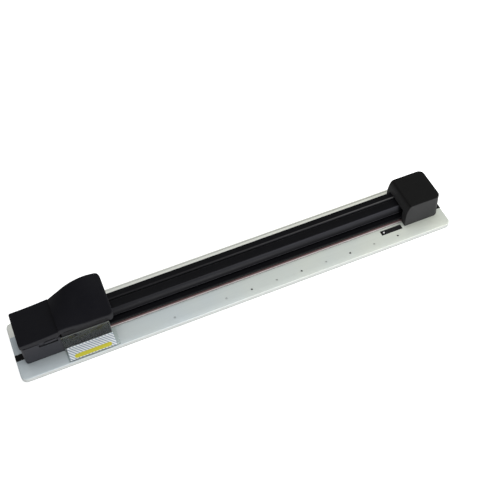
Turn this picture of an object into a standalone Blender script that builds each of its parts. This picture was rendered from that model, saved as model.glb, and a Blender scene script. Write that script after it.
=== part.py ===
"""Rotary paper trimmer: a slim metal base, a fixed guide rail and a sliding cutter head.

Everything is in metres with +Z up. The origin is the centre of the base on the surface
that the feet stand on. +X runs along the rail from the parked head to the far end block,
and -Y is the side that the paper comes in from.
"""
import bpy
import bmesh
import math
from mathutils import Vector

# Clearances
SEAT_GAP = 0.0003
RUNNING_GAP = 0.0003
CUT_OVERRUN = 0.0010

# Base
BASE_LENGTH = 0.6400
BASE_DEPTH = 0.0980
BASE_THICKNESS = 0.0072
BASE_CORNER_RADIUS = 0.0090
BASE_EDGE_RADIUS = 0.0014
BASE_BACK_SLOPE_WIDTH = 0.0043
BASE_BACK_SLOPE_DROP = 0.0020
# Rows round the top edge: how far down the edge, in from it and along the back slope
BASE_EDGE_ROW_SHARES = ((1.0, 0.0, 0.3), (0.3, 0.3, 0.85), (0.0, 1.0, 1.0))
CHANNEL_WIDTH = 0.0230
CHANNEL_DEPTH = 0.0028
CHANNEL_OFFSET = 0.0155

# Feet
FOOT_HEIGHT = 0.0015
FOOT_RADIUS = 0.0070
FOOT_INSET_X = 0.0300
FOOT_INSET_Y = 0.0110
FOOT_EDGE = 0.0003

BASE_BOTTOM = FOOT_HEIGHT + SEAT_GAP
BASE_TOP = BASE_BOTTOM + BASE_THICKNESS

# Cutting mat and its red line strip
MAT_WIDTH = 0.0100
MAT_THICKNESS = 0.0013
MAT_CENTRE_Y = -0.0117
LINE_WIDTH = 0.0042
LINE_THICKNESS = 0.0004
LINE_INSET = 0.0003

# Marker holes along the front of the base
MARKER_PITCH = 0.0380
MARKER_RADIUS = 0.0015
MARKER_FRONT_INSET = 0.0117
MARKER_FIRST_OFFSET = 0.1518
MARKER_SHALLOW_DEPTH = 0.0007
MARKER_DEEP_DEPTH = 0.0030
MARKER_SHALLOW_STEPS = (0, 2, 4, 6, 8)
MARKER_DEEP_STEPS = (3, 5, 7, 9)

# Black plate let into the base by the right end
SLOT_PLATE_LENGTH = 0.0326
SLOT_PLATE_WIDTH = 0.0076
SLOT_PLATE_THICKNESS = 0.0013
SLOT_PLATE_CAP_GAP = 0.0046
SLOT_PLATE_CENTRE_Y = -0.0244
SLOT_PLATE_RIM = 0.0010
SLOT_PLATE_DISH = 0.0004
SLOT_SCREW_RADIUS = 0.0015
SLOT_SCREW_HEIGHT = 0.0009
SLOT_SCREW_INSET = 0.0043
SLOT_SCREW_CROWN_SHARE = 0.6

# Guide rail: heights are above the base top
RAIL_LEFT_INSET = 0.0220
RAIL_RIGHT_INSET = 0.0200
RAIL_LEFT_X = -BASE_LENGTH / 2 + RAIL_LEFT_INSET
RAIL_RIGHT_X = BASE_LENGTH / 2 - RAIL_RIGHT_INSET
RAIL_BACK_Y = 0.0235
RAIL_TOP = 0.0228
RAIL_UNDERSIDE = 0.0049
RAIL_EDGE_RADIUS = 0.0012
RAIL_GROOVE_BACK_Y = 0.0124
RAIL_GROOVE_WIDTH = 0.0029
RAIL_GROOVE_DEPTH = 0.0032
RAIL_RIDGE_WIDTH = 0.0010
RAIL_FRONT_DECK_DROP = 0.0010
RAIL_FRONT_DECK_Y = -0.0012
RAIL_BROW_RADIUS = 0.0016
RAIL_LIP_Y = -0.0075
RAIL_LIP_HEIGHT = 0.0109
RAIL_LIP_THICKNESS = 0.0008
RAIL_COVE_SAG = 0.0006
RAIL_POCKET_HEIGHT = 0.0094
RAIL_POCKET_BACK_Y = 0.0028
RAIL_POCKET_CHAMFER = 0.0017

# Slabs that the rail stands on, inside the end shells
RAIL_FOOT_LENGTH = 0.0340
RAIL_FOOT_END_INSET = 0.0020
RAIL_FOOT_FRONT_Y = 0.0040
RAIL_FOOT_BACK_Y = 0.0225
RAIL_SCREW_Y = 0.0130
RAIL_SCREW_INSET = 0.0070

# Flat middle of a small domed head, as a share of its radius
SCREW_CROWN_SHARE = 0.75

# Screws driven up through the base
SCREW_HEAD_RADIUS = 0.0032
SCREW_HEAD_HEIGHT = 0.0022
SCREW_SHANK_RADIUS = 0.0016
SCREW_SOCKET_RADIUS = 0.0014
SCREW_SOCKET_DEPTH = 0.0012
SCREW_SOCKET_WALL_SHARE = 0.8
RAIL_SCREW_GRIP = 0.0060
SHELL_SCREW_GRIP = 0.0080

# End shells
SHELL_WALL = 0.0024
BOSS_RADIUS = 0.0034
BOSS_CENTRE_Y = -0.0212
BOSS_END_INSET = 0.0090
BOSS_HEIGHT = 0.0130
WINDOW_FRONT_Y = -0.0157
WINDOW_BACK_Y = 0.0242
WINDOW_HEIGHT = 0.0236

# Height of the rim that both end and head covers come down to
RIM_HEIGHT = 0.0343

# Left end: lower shell and its cover
LEFT_INSET = 0.0130
LEFT_LENGTH = 0.0520
LEFT_X = -BASE_LENGTH / 2 + LEFT_INSET
SEAM_X = LEFT_X + LEFT_LENGTH
HEAD_FRONT_Y = -0.0274
HEAD_BACK_Y = 0.0288
LIP_OVERHANG = 0.0008
LEFT_NECK_HEIGHT = 0.0042
LEFT_TOP_OUTER_RISE = 0.0093
LEFT_TOP_SEAM_BACK_RISE = 0.0149
LEFT_TOP_SEAM_FRONT_RISE = 0.0113
LEFT_TOP_RISE_POWER = 1.6
END_CORNER_RADIUS = 0.0088
COVER_CORNER_RADIUS = 0.0045
COVER_WALL = 0.0016
COVER_EDGE_RADIUS = 0.0020
RECESS_LENGTH = 0.0260
RECESS_SEAM_INSET = 0.0030
RECESS_TOP_INSET = 0.0012
RECESS_HEIGHT = 0.0075
RECESS_DEPTH = 0.0010

# Right end cap
CAP_INSET = 0.0088
CAP_LENGTH = 0.0552
CAP_RIGHT_X = BASE_LENGTH / 2 - CAP_INSET
CAP_LEFT_X = CAP_RIGHT_X - CAP_LENGTH
CAP_FRONT_Y = -0.0263
CAP_BACK_Y = 0.0310
CAP_HEIGHT = 0.0394
CAP_SLOPE_LENGTH = 0.0092
CAP_SLOPE_HEIGHT = 0.0275
CAP_EDGE_RADIUS = 0.0018

# Paper clamp under the front of the rail
CLAMP_END_INSET = 0.0020
CLAMP_LEFT_X = RAIL_LEFT_X + CLAMP_END_INSET
CLAMP_RIGHT_X = RAIL_RIGHT_X - CLAMP_END_INSET
CLAMP_FRONT_Y = -0.0150
CLAMP_BACK_Y = 0.0022
CLAMP_UNDERSIDE = 0.0054
CLAMP_THICKNESS = 0.0034
CLAMP_EDGE = 0.0006
CLAMP_TRAVEL = 0.0041
GRIP_WIDTH = 0.0040
GRIP_THICKNESS = 0.0008
GRIP_FRONT_INSET = 0.0006
GRIP_END_INSET = 0.0450
POST_RADIUS = 0.0018
POST_Y = -0.0040
POST_END_INSET = 0.0160
POST_SEAT_DEPTH = 0.0028
CLAMP_SPRING_RADIUS = 0.0029
CLAMP_SPRING_WIRE_RADIUS = 0.0003
CLAMP_SPRING_TURNS = 4
CLAMP_SPRING_POCKET_DEPTH = 0.0022

# Cutter head: chassis that straddles the rail
HEAD_LENGTH = 0.0745
HEAD_SEAM_GAP = 0.0003
HEAD_LEFT_X = SEAM_X + HEAD_SEAM_GAP
HEAD_RIGHT_X = HEAD_LEFT_X + HEAD_LENGTH
PRESS_TRAVEL = CLAMP_TRAVEL
CHASSIS_WALL = 0.0024
CHASSIS_BOTTOM = 0.0030
CHASSIS_NECK_DROP = 0.0006
CHASSIS_DECK_TOP = 0.0289
CHASSIS_DECK_THICKNESS = 0.0034
CHASSIS_END_WALL = 0.0036
CHASSIS_CORNER_RADIUS = 0.0024
CHASSIS_HOOK_REACH = 0.0048
BLADE_BAY_BACK_Y = -0.0086
BLADE_BAY_FRONT_Y = -0.0234
TUNNEL_FRONT_Y = -0.0168
TUNNEL_STRIP_HEIGHT = 0.0098
TUNNEL_BACK_GAP = 0.0006
SHOE_LENGTH = 0.0140
SHOE_END_INSET = 0.0030
SHOE_BACK_Y = 0.0220
SHOE_FRONT_Y = -0.0005
SHOE_KEY_ENGAGEMENT = 0.0028

# Clear finger guard on the head
GUARD_THICKNESS = 0.0012
GUARD_BOTTOM = 0.0014
GUARD_TOP_CLEARANCE = 0.0004
GUARD_FRONT_INSET = 0.0014
GUARD_BEND_RADIUS = 0.0014
GUARD_RIGHT_INSET = 0.0004
GUARD_SCREW_INSET = 0.0191
GUARD_SCREW_HEIGHT = 0.0268
GUARD_SCREW_HEAD_RADIUS = 0.0020
GUARD_SCREW_HEAD_THICKNESS = 0.0010
GUARD_SCREW_SHANK_RADIUS = 0.0010
GUARD_SCREW_LENGTH = 0.0028

# Cutter head: pressed handle
HEAD_PEAK_BACK_RISE = 0.0379
HEAD_SEAM_BACK_RISE = 0.0149
HEAD_PEAK_FRONT_RISE = 0.0141
HEAD_RIGHT_FRONT_RISE = 0.0062
HEAD_CROWN = 0.0040
HEAD_WALL = 0.0020
HEAD_SEAM_CORNER_RADIUS = 0.0010
HEAD_RIGHT_CORNER_RADIUS = 0.0060
HEAD_FRONT_EDGE_RADIUS = 0.0020
HEAD_BACK_EDGE_RADIUS = 0.0042
HEAD_RIGHT_EDGE_RADIUS = 0.0026

# The head's top edges seen from the front and from behind: places along the head and
# how far each edge has risen, both as shares
HEAD_PLACE_SHARES = (0.0, 0.09, 0.20, 0.335, 0.485, 0.61, 0.74, 0.85, 1.0)
HEAD_BACK_RISE_SHARES = (0.0, 0.19, 0.40, 0.67, 0.87, 0.965, 1.0, 0.96, 0.86)
HEAD_FRONT_RISE_SHARES = (0.58, 0.76, 0.93, 1.0, 0.86, 0.62, 0.38, 0.18, 0.0)

# Press posts and springs inside the head
PRESS_POST_RADIUS = 0.0025
PRESS_POST_TOP_RISE = 0.0107
PRESS_POST_Y = 0.0140
PRESS_POST_INSET = 0.0150
PRESS_BOSS_RADIUS = 0.0046
PRESS_BOSS_RISE = 0.0057
PRESS_BORE_SPARE = 0.0010
PRESS_POST_TIP_RADIUS = 0.0017
PRESS_SPRING_RADIUS = 0.0036
PRESS_SPRING_WIRE_RADIUS = 0.00045
PRESS_SPRING_TURNS = 5

# Blade, its hub and its carrier
BLADE_RADIUS = 0.0140
BLADE_THICKNESS = 0.0005
BLADE_EDGE_THICKNESS = 0.0002
BLADE_GRIND = 0.0022
BLADE_CENTRE_Y = -0.0158
BLADE_MAT_CLEARANCE = 0.0003
AXLE_RADIUS = 0.0019
AXLE_HEAD_RADIUS = 0.0032
AXLE_HEAD_THICKNESS = 0.0010
BUSH_WALL = 0.0009
HUB_WALL = 0.0011
HUB_FLANGE_RADIUS = 0.0064
HUB_FLANGE_THICKNESS = 0.0016
HUB_SLEEVE_LENGTH = 0.0024
HUB_CAP_THICKNESS = 0.0015
HUB_CAP_FACE_SHARE = 0.85
CLIP_RADIUS = 0.0034
CLIP_THICKNESS = 0.0010
AXLE_TAIL = 0.0006
CARRIER_THICKNESS = 0.0034
CARRIER_NECK_WIDTH = 0.0280
CARRIER_BAR_INSET = 0.00925
CARRIER_BAR_BOTTOM = 0.0095
CARRIER_BAR_TOP = 0.0172
CARRIER_FLANGE_RISE = 0.0057
CARRIER_FLANGE_THICKNESS = 0.0028
CARRIER_FLANGE_BACK_Y = -0.0064
CARRIER_SCREW_SPREAD = 0.0200
CARRIER_SCREW_Y = -0.0120
CARRIER_BOSS_RADIUS = 0.0036
CARRIER_SCREW_GRIP = 0.0050
CARRIER_SCREW_HEAD_RADIUS = 0.0026
CARRIER_SCREW_HEAD_HEIGHT = 0.0016
CARRIER_SCREW_SHANK_RADIUS = 0.0013

# Rollers on the carrier that push the clamp strip down
ROLLER_RADIUS = 0.0040
ROLLER_WIDTH = 0.0044
ROLLER_BACK_Y = -0.0098
ROLLER_INSET = 0.01425
ROLLER_AXLE_RADIUS = 0.0015
ROLLER_SHOULDER_RADIUS = 0.0025
ROLLER_EDGE = 0.00055

# Smoothness
FINE_STEPS = 32
ROUND_STEPS = 20
SMALL_STEPS = 12
CORNER_STEPS = 4
CAP_SLOPE_STEPS = 6
COVER_STEPS = 6
HEAD_STEPS = 14
CROWN_STEPS = 6
SPRING_POINTS_PER_TURN = 8
SHARP_ANGLE = math.radians(35)


def clear_scene():
    for item in list(bpy.data.objects):
        bpy.data.objects.remove(item, do_unlink=True)


def make_material(name, colour, roughness, metallic=0.0, transmission=0.0):
    material = bpy.data.materials.new(name)
    material.use_nodes = True
    shader = material.node_tree.nodes["Principled BSDF"]
    shader.inputs["Base Color"].default_value = (*colour, 1.0)
    shader.inputs["Roughness"].default_value = roughness
    shader.inputs["Metallic"].default_value = metallic
    shader.inputs["Transmission Weight"].default_value = transmission
    material.diffuse_color = (*colour, 1.0)
    return material


def make_empty(name, place, parent=None):
    empty = bpy.data.objects.new(name, None)
    bpy.context.collection.objects.link(empty)
    empty.parent = parent
    offset = parent.matrix_world.translation if parent else Vector((0.0, 0.0, 0.0))
    empty.location = Vector(place) - offset
    bpy.context.view_layer.update()
    return empty


def finish(name, mesh_data, material, parent=None, smooth=False):
    """Turn a bmesh in world coordinates into a named object under its parent."""
    bmesh.ops.recalc_face_normals(mesh_data, faces=mesh_data.faces)
    mesh = bpy.data.meshes.new(name)
    origin = parent.matrix_world.translation if parent else Vector((0.0, 0.0, 0.0))
    bmesh.ops.translate(mesh_data, verts=mesh_data.verts, vec=-origin)
    mesh_data.to_mesh(mesh)
    mesh_data.free()
    if material:
        mesh.materials.append(material)
    if smooth:
        mesh.shade_smooth()
        mesh.set_sharp_from_angle(angle=SHARP_ANGLE)
    item = bpy.data.objects.new(name, mesh)
    bpy.context.collection.objects.link(item)
    item.parent = parent
    return item


def add_rings(mesh_data, rings):
    """Skin a row of closed rings that have the same number of points, and cap both ends."""
    rows = [[mesh_data.verts.new(point) for point in ring] for ring in rings]
    count = len(rows[0])
    for low, high in zip(rows, rows[1:]):
        for index in range(count):
            after = (index + 1) % count
            mesh_data.faces.new((low[index], low[after], high[after], high[index]))
    mesh_data.faces.new(rows[0][::-1])
    mesh_data.faces.new(rows[-1])


def rings_solid(rings):
    mesh_data = bmesh.new()
    add_rings(mesh_data, rings)
    return mesh_data


def add_bar(mesh_data, outline_yz, left, right):
    """Extrude an outline of (y, z) points along X."""
    add_rings(mesh_data, [[(x, y, z) for y, z in outline_yz] for x in (left, right)])


def add_plank(mesh_data, outline_xz, front, back):
    """Extrude an outline of (x, z) points along Y."""
    add_rings(mesh_data, [[(x, y, z) for x, z in outline_xz] for y in (front, back)])


def add_box(mesh_data, x_range, y_range, z_range):
    outline = [(y_range[0], z_range[0]), (y_range[1], z_range[0]),
               (y_range[1], z_range[1]), (y_range[0], z_range[1])]
    add_bar(mesh_data, outline, x_range[0], x_range[1])


def circle_points(steps):
    return [(math.cos(math.tau * step / steps), math.sin(math.tau * step / steps))
            for step in range(steps)]


def add_post(mesh_data, x, y, profile, steps):
    """Turn a profile of (radius, z) points, from low to high, about an upright axis."""
    add_rings(mesh_data, [[(x + radius * c, y + radius * s, z) for c, s in circle_points(steps)]
                          for radius, z in profile])


def add_spindle(mesh_data, x, z, profile, steps):
    """Turn a profile of (radius, y) points, from front to back, about an axis along Y."""
    add_rings(mesh_data, [[(x + radius * c, y, z + radius * s) for c, s in circle_points(steps)]
                          for radius, y in profile])


def add_collar(mesh_data, x, z, profile, steps):
    """Turn a closed profile of (radius, y) points about an axis along Y, as a ring."""
    rows = []
    for c, s in circle_points(steps):
        rows.append([mesh_data.verts.new((x + radius * c, y, z + radius * s))
                     for radius, y in profile])
    count = len(profile)
    for row, following in zip(rows, rows[1:] + rows[:1]):
        for index in range(count):
            after = (index + 1) % count
            mesh_data.faces.new((row[index], row[after], following[after], following[index]))


def arc(centre_a, centre_b, radius, start_share, end_share, steps=CORNER_STEPS):
    """Points on a circle, from one share of a full turn to another."""
    points = []
    for step in range(steps + 1):
        angle = math.tau * (start_share + (end_share - start_share) * step / steps)
        points.append((centre_a + radius * math.cos(angle), centre_b + radius * math.sin(angle)))
    return points


def rounded_rectangle(x_range, y_range, radii):
    """Plan outline whose corners run front left, front right, back right, back left."""
    front_left, front_right, back_right, back_left = radii
    outline = arc(x_range[0] + front_left, y_range[0] + front_left, front_left, 0.5, 0.75)
    outline += arc(x_range[1] - front_right, y_range[0] + front_right, front_right, 0.75, 1.0)
    outline += arc(x_range[1] - back_right, y_range[1] - back_right, back_right, 0.0, 0.25)
    outline += arc(x_range[0] + back_left, y_range[1] - back_left, back_left, 0.25, 0.5)
    return outline


def cut(item, name, cutter_mesh, operation="DIFFERENCE"):
    """Cut an object with a hidden cutter, or join a hidden helper shape to it.

    The cutter is handed back, so that a room can itself be cut round the bosses in it.
    """
    cutter = finish(name, cutter_mesh, None, item.parent)
    cutter.hide_render = True
    cutter.display_type = "WIRE"
    modifier = item.modifiers.new(name, "BOOLEAN")
    modifier.operation = operation
    modifier.solver = "EXACT"
    modifier.object = cutter
    return cutter


def make_helix(name, x, y, low, high, radius, wire_radius, turns, material, parent):
    """Compression spring: one round wire wound on an upright helix."""
    curve = bpy.data.curves.new(name, "CURVE")
    curve.dimensions = "3D"
    curve.bevel_depth = wire_radius
    curve.bevel_resolution = 1
    curve.use_fill_caps = True
    spline = curve.splines.new("POLY")
    count = turns * SPRING_POINTS_PER_TURN + 1
    spline.points.add(count - 1)
    origin = parent.matrix_world.translation
    rise = high - low - wire_radius * 2
    for index in range(count):
        share = index / (count - 1)
        angle = math.tau * turns * share
        place = Vector((x + radius * math.cos(angle), y + radius * math.sin(angle),
                        low + wire_radius + rise * share)) - origin
        spline.points[index].co = (*place, 1.0)
    curve.materials.append(material)
    item = bpy.data.objects.new(name, curve)
    bpy.context.collection.objects.link(item)
    item.parent = parent
    return item


def smooth_table(places, values, place):
    """Read a table at one place, along a smooth curve through its points."""
    last = len(places) - 1
    index = max(i for i in range(last) if places[i] <= place or i == 0)
    width = places[index + 1] - places[index]
    share = min(max((place - places[index]) / width, 0.0), 1.0)

    def slope(i):
        before, after = max(i - 1, 0), min(i + 1, last)
        return (values[after] - values[before]) / (places[after] - places[before])

    square, cube = share ** 2, share ** 3
    return ((2 * cube - 3 * square + 1) * values[index] + (cube - 2 * square + share) * width
            * slope(index) + (3 * square - 2 * cube) * values[index + 1]
            + (cube - square) * width * slope(index + 1))


def round_off(distance, radius):
    """How far a quarter-round edge stands back at a distance from the end it rounds."""
    if radius <= 0.0 or distance >= radius:
        return 0.0
    return radius - math.sqrt(radius ** 2 - (radius - distance) ** 2)


class Hood:
    """A moulded hood: an outline along X whose top may rise, swell and round off."""

    def __init__(self, x_range, y_range, bottom, front_top, back_top, crown=0.0,
                 front_edge=CAP_EDGE_RADIUS, back_edge=CAP_EDGE_RADIUS,
                 corners=(0.0, 0.0), end_edges=(0.0, 0.0)):
        self.x_range = x_range
        self.y_range = y_range
        self.bottom = bottom
        self.front_top = front_top
        self.back_top = back_top
        self.crown = crown
        self.front_edge = front_edge
        self.back_edge = back_edge
        self.corners = corners
        self.end_edges = end_edges

    def top(self, x, y):
        """Height of the top before its edges are rounded."""
        share = (y - self.y_range[0]) / (self.y_range[1] - self.y_range[0])
        swell = self.crown * math.sin(math.pi * min(max(share, 0.0), 1.0))
        return self.front_top(x) + (self.back_top(x) - self.front_top(x)) * share + swell

    def stations(self, middle_count):
        left, right = self.x_range
        reach = [max(self.corners[i], self.end_edges[i]) for i in (0, 1)]
        turns = [step / CORNER_STEPS * math.pi / 2 for step in range(CORNER_STEPS)]
        places = [left + reach[0] * (1 - math.cos(turn)) for turn in turns if reach[0] > 0]
        span = right - reach[1] - left - reach[0]
        places += [left + reach[0] + span * step / middle_count
                   for step in range(middle_count + 1)]
        places += [right - reach[1] * (1 - math.cos(turn)) for turn in turns[::-1] if reach[1] > 0]
        return places

    def section(self, x):
        left_distance, right_distance = x - self.x_range[0], self.x_range[1] - x
        inset = (round_off(left_distance, self.corners[0])
                 + round_off(right_distance, self.corners[1]))
        drop = (round_off(left_distance, self.end_edges[0])
                + round_off(right_distance, self.end_edges[1]))
        front, back = self.y_range[0] + inset, self.y_range[1] - inset
        points = [(front, self.bottom)]
        turns = [step / CORNER_STEPS * math.pi / 2 for step in range(CORNER_STEPS + 1)]
        for turn in turns:
            y = front + self.front_edge * (1 - math.cos(turn))
            fall = self.front_edge * (1 - math.sin(turn))
            points.append((y, self.top(x, y) - drop - fall))
        crown_start, crown_end = front + self.front_edge, back - self.back_edge
        for step in range(1, CROWN_STEPS):
            y = crown_start + (crown_end - crown_start) * step / CROWN_STEPS
            points.append((y, self.top(x, y) - drop))
        for turn in turns[::-1]:
            y = back - self.back_edge * (1 - math.cos(turn))
            fall = self.back_edge * (1 - math.sin(turn))
            points.append((y, self.top(x, y) - drop - fall))
        points.append((back, self.bottom))
        return [(x, y, z) for y, z in points]

    def solid(self, middle_count):
        return rings_solid([self.section(x) for x in self.stations(middle_count)])

    def hollow(self, wall, middle_count):
        """The space inside the hood when its walls have one thickness."""
        inner = Hood((self.x_range[0] + wall, self.x_range[1] - wall),
                     (self.y_range[0] + wall, self.y_range[1] - wall),
                     self.bottom - CUT_OVERRUN,
                     lambda x: self.top(x, self.y_range[0] + wall) - wall,
                     lambda x: self.top(x, self.y_range[1] - wall) - wall, self.crown,
                     max(self.front_edge - wall, wall / 2), max(self.back_edge - wall, wall / 2),
                     tuple(max(radius - wall, 0.0) for radius in self.corners),
                     tuple(max(radius - wall, 0.0) for radius in self.end_edges))
        return inner.solid(middle_count)


def above_base(height):
    return BASE_TOP + height


# Places that several pieces share
MAT_FRONT_Y = MAT_CENTRE_Y - MAT_WIDTH / 2
MAT_BACK_Y = MAT_CENTRE_Y + MAT_WIDTH / 2
CHANNEL_CEILING = BASE_BOTTOM + CHANNEL_DEPTH
SCREW_HEAD_BOTTOM = CHANNEL_CEILING - SEAT_GAP - SCREW_HEAD_HEIGHT
RAIL_SCREW_TIP = above_base(RAIL_UNDERSIDE) + RAIL_SCREW_GRIP
SHELL_BOTTOM = BASE_TOP + SEAT_GAP
SHELL_SCREW_TIP = SHELL_BOTTOM + SHELL_SCREW_GRIP
RAIL_FOOT_SPANS = {
    "left": (RAIL_LEFT_X + RAIL_FOOT_END_INSET,
             RAIL_LEFT_X + RAIL_FOOT_END_INSET + RAIL_FOOT_LENGTH),
    "right": (RAIL_RIGHT_X - RAIL_FOOT_END_INSET - RAIL_FOOT_LENGTH,
              RAIL_RIGHT_X - RAIL_FOOT_END_INSET),
}
POST_PLACES = {"left": CLAMP_LEFT_X + POST_END_INSET, "right": CLAMP_RIGHT_X - POST_END_INSET}
SHELL_SPANS = {"left": (LEFT_X + LIP_OVERHANG, SEAM_X), "right": (CAP_LEFT_X, CAP_RIGHT_X)}
HEAD_RIM = above_base(RIM_HEIGHT)
BLADE_X = (HEAD_LEFT_X + HEAD_RIGHT_X) / 2
GUARD_SCREW_X = HEAD_LEFT_X + GUARD_SCREW_INSET
GUARD_RIGHT_X = HEAD_RIGHT_X - GUARD_RIGHT_INSET
GUARD_FRONT_Y = -BASE_DEPTH / 2 + GUARD_FRONT_INSET
SLOT_PLATE_RIGHT_X = CAP_LEFT_X - SLOT_PLATE_CAP_GAP
MARKER_FIRST_X = SEAM_X + MARKER_FIRST_OFFSET
PRESS_BOSS_BOTTOM = HEAD_RIM + PRESS_BOSS_RISE
PRESS_POST_TOP = HEAD_RIM + PRESS_POST_TOP_RISE
CARRIER_FLANGE_LOW = HEAD_RIM + CARRIER_FLANGE_RISE
CARRIER_FLANGE_HIGH = CARRIER_FLANGE_LOW + CARRIER_FLANGE_THICKNESS
CHASSIS_LEFT_X = HEAD_LEFT_X + HEAD_WALL + RUNNING_GAP
CHASSIS_RIGHT_X = HEAD_RIGHT_X - HEAD_WALL - RUNNING_GAP
CHASSIS_FRONT_Y = HEAD_FRONT_Y + HEAD_WALL + RUNNING_GAP
CHASSIS_BACK_Y = HEAD_BACK_Y - HEAD_WALL - RUNNING_GAP
BLADE_HEIGHT = BLADE_MAT_CLEARANCE + PRESS_TRAVEL + BLADE_RADIUS
CLAMP_TOP = CLAMP_UNDERSIDE + CLAMP_THICKNESS
ROLLER_HEIGHT = CLAMP_TOP + RUNNING_GAP + ROLLER_RADIUS
ROLLER_PLACES = {"left": HEAD_LEFT_X + ROLLER_INSET, "right": HEAD_RIGHT_X - ROLLER_INSET}
PRESS_POST_PLACES = {"left": CHASSIS_LEFT_X + PRESS_POST_INSET,
                     "right": CHASSIS_RIGHT_X - PRESS_POST_INSET}
CARRIER_SCREW_PLACES = {"left": BLADE_X - CARRIER_SCREW_SPREAD / 2,
                        "right": BLADE_X + CARRIER_SCREW_SPREAD / 2}
BLADE_BACK_Y = BLADE_CENTRE_Y + BLADE_THICKNESS / 2
BLADE_FACE_Y = BLADE_CENTRE_Y - BLADE_THICKNESS / 2
HUB_CAP_FRONT_Y = BLADE_FACE_Y - SEAT_GAP - HUB_CAP_THICKNESS
CARRIER_BACK_Y = HUB_CAP_FRONT_Y - RUNNING_GAP
CARRIER_FRONT_Y = CARRIER_BACK_Y - CARRIER_THICKNESS
HUB_FLANGE_FRONT_Y = BLADE_BACK_Y + SEAT_GAP
HUB_BACK_Y = HUB_FLANGE_FRONT_Y + HUB_FLANGE_THICKNESS + HUB_SLEEVE_LENGTH
BUSH_BORE_RADIUS = AXLE_RADIUS + RUNNING_GAP
BUSH_RADIUS = BUSH_BORE_RADIUS + BUSH_WALL
HUB_BORE_RADIUS = BUSH_RADIUS + SEAT_GAP
HUB_SPIGOT_RADIUS = HUB_BORE_RADIUS + HUB_WALL
CHASSIS_DECK_UNDERSIDE = CHASSIS_DECK_TOP - CHASSIS_DECK_THICKNESS


def screw_positions():
    """Plan positions of every screw that is driven up through the base."""
    places = {}
    for side, (left, right) in RAIL_FOOT_SPANS.items():
        places[f"rail_screw_{side}_outer"] = (
            left + RAIL_SCREW_INSET if side == "left" else right - RAIL_SCREW_INSET, RAIL_SCREW_Y)
        places[f"rail_screw_{side}_inner"] = (
            right - RAIL_SCREW_INSET if side == "left" else left + RAIL_SCREW_INSET, RAIL_SCREW_Y)
    for side, (left, right) in SHELL_SPANS.items():
        places[f"shell_screw_{side}_1"] = (left + BOSS_END_INSET, BOSS_CENTRE_Y)
        places[f"shell_screw_{side}_2"] = (right - BOSS_END_INSET, BOSS_CENTRE_Y)
    return places


def make_base_plate(material):
    half_length, half_depth = BASE_LENGTH / 2, BASE_DEPTH / 2
    steps = [(BASE_BOTTOM, 0.0, 0.0), (BASE_TOP - BASE_BACK_SLOPE_DROP, 0.0, 0.0)]
    steps += [(BASE_TOP - BASE_EDGE_RADIUS * down_share, BASE_EDGE_RADIUS * in_share,
               BASE_BACK_SLOPE_WIDTH * back_share)
              for down_share, in_share, back_share in BASE_EDGE_ROW_SHARES]
    rings = []
    for height, inset, back_inset in steps:
        outline = rounded_rectangle((-half_length + inset, half_length - inset),
                                    (-half_depth + inset, half_depth - back_inset),
                                    (BASE_CORNER_RADIUS - inset,) * 4)
        rings.append([(x, y, height) for x, y in outline])
    plate = finish("base_plate", rings_solid(rings), material, smooth=True)

    grooves = bmesh.new()
    groove_floor = BASE_TOP - MAT_THICKNESS - SEAT_GAP
    ends = (-half_length - CUT_OVERRUN, half_length + CUT_OVERRUN)
    add_box(grooves, ends, (MAT_FRONT_Y - SEAT_GAP, MAT_BACK_Y + SEAT_GAP),
            (groove_floor, BASE_TOP + CUT_OVERRUN))
    for side in (-1, 1):
        centre = side * CHANNEL_OFFSET
        add_box(grooves, ends, (centre - CHANNEL_WIDTH / 2, centre + CHANNEL_WIDTH / 2),
                (BASE_BOTTOM - CUT_OVERRUN, CHANNEL_CEILING))
    add_box(grooves, slot_plate_span(SEAT_GAP), slot_plate_depth(SEAT_GAP),
            (BASE_TOP - SLOT_PLATE_THICKNESS - SEAT_GAP, BASE_TOP + CUT_OVERRUN))
    cut(plate, "base_groove_cutter", grooves)

    holes = bmesh.new()
    marker_y = -half_depth + MARKER_FRONT_INSET
    for numbers, depth in ((MARKER_SHALLOW_STEPS, MARKER_SHALLOW_DEPTH),
                           (MARKER_DEEP_STEPS, MARKER_DEEP_DEPTH)):
        for number in numbers:
            add_post(holes, MARKER_FIRST_X + number * MARKER_PITCH, marker_y,
                     ((MARKER_RADIUS, BASE_TOP - depth),
                      (MARKER_RADIUS, BASE_TOP + CUT_OVERRUN)), SMALL_STEPS)
    for x in POST_PLACES.values():
        add_post(holes, x, POST_Y,
                 ((POST_RADIUS + SEAT_GAP, BASE_TOP - POST_SEAT_DEPTH - SEAT_GAP),
                  (POST_RADIUS + SEAT_GAP, BASE_TOP + CUT_OVERRUN)), SMALL_STEPS)
    for x, y in screw_positions().values():
        add_post(holes, x, y, ((SCREW_SHANK_RADIUS + SEAT_GAP, BASE_BOTTOM),
                               (SCREW_SHANK_RADIUS + SEAT_GAP, BASE_TOP + CUT_OVERRUN)),
                 SMALL_STEPS)
    cut(plate, "base_hole_cutter", holes)


def slot_plate_span(clearance):
    return (SLOT_PLATE_RIGHT_X - SLOT_PLATE_LENGTH - clearance, SLOT_PLATE_RIGHT_X + clearance)


def slot_plate_depth(clearance):
    half = SLOT_PLATE_WIDTH / 2 + clearance
    return (SLOT_PLATE_CENTRE_Y - half, SLOT_PLATE_CENTRE_Y + half)


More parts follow.
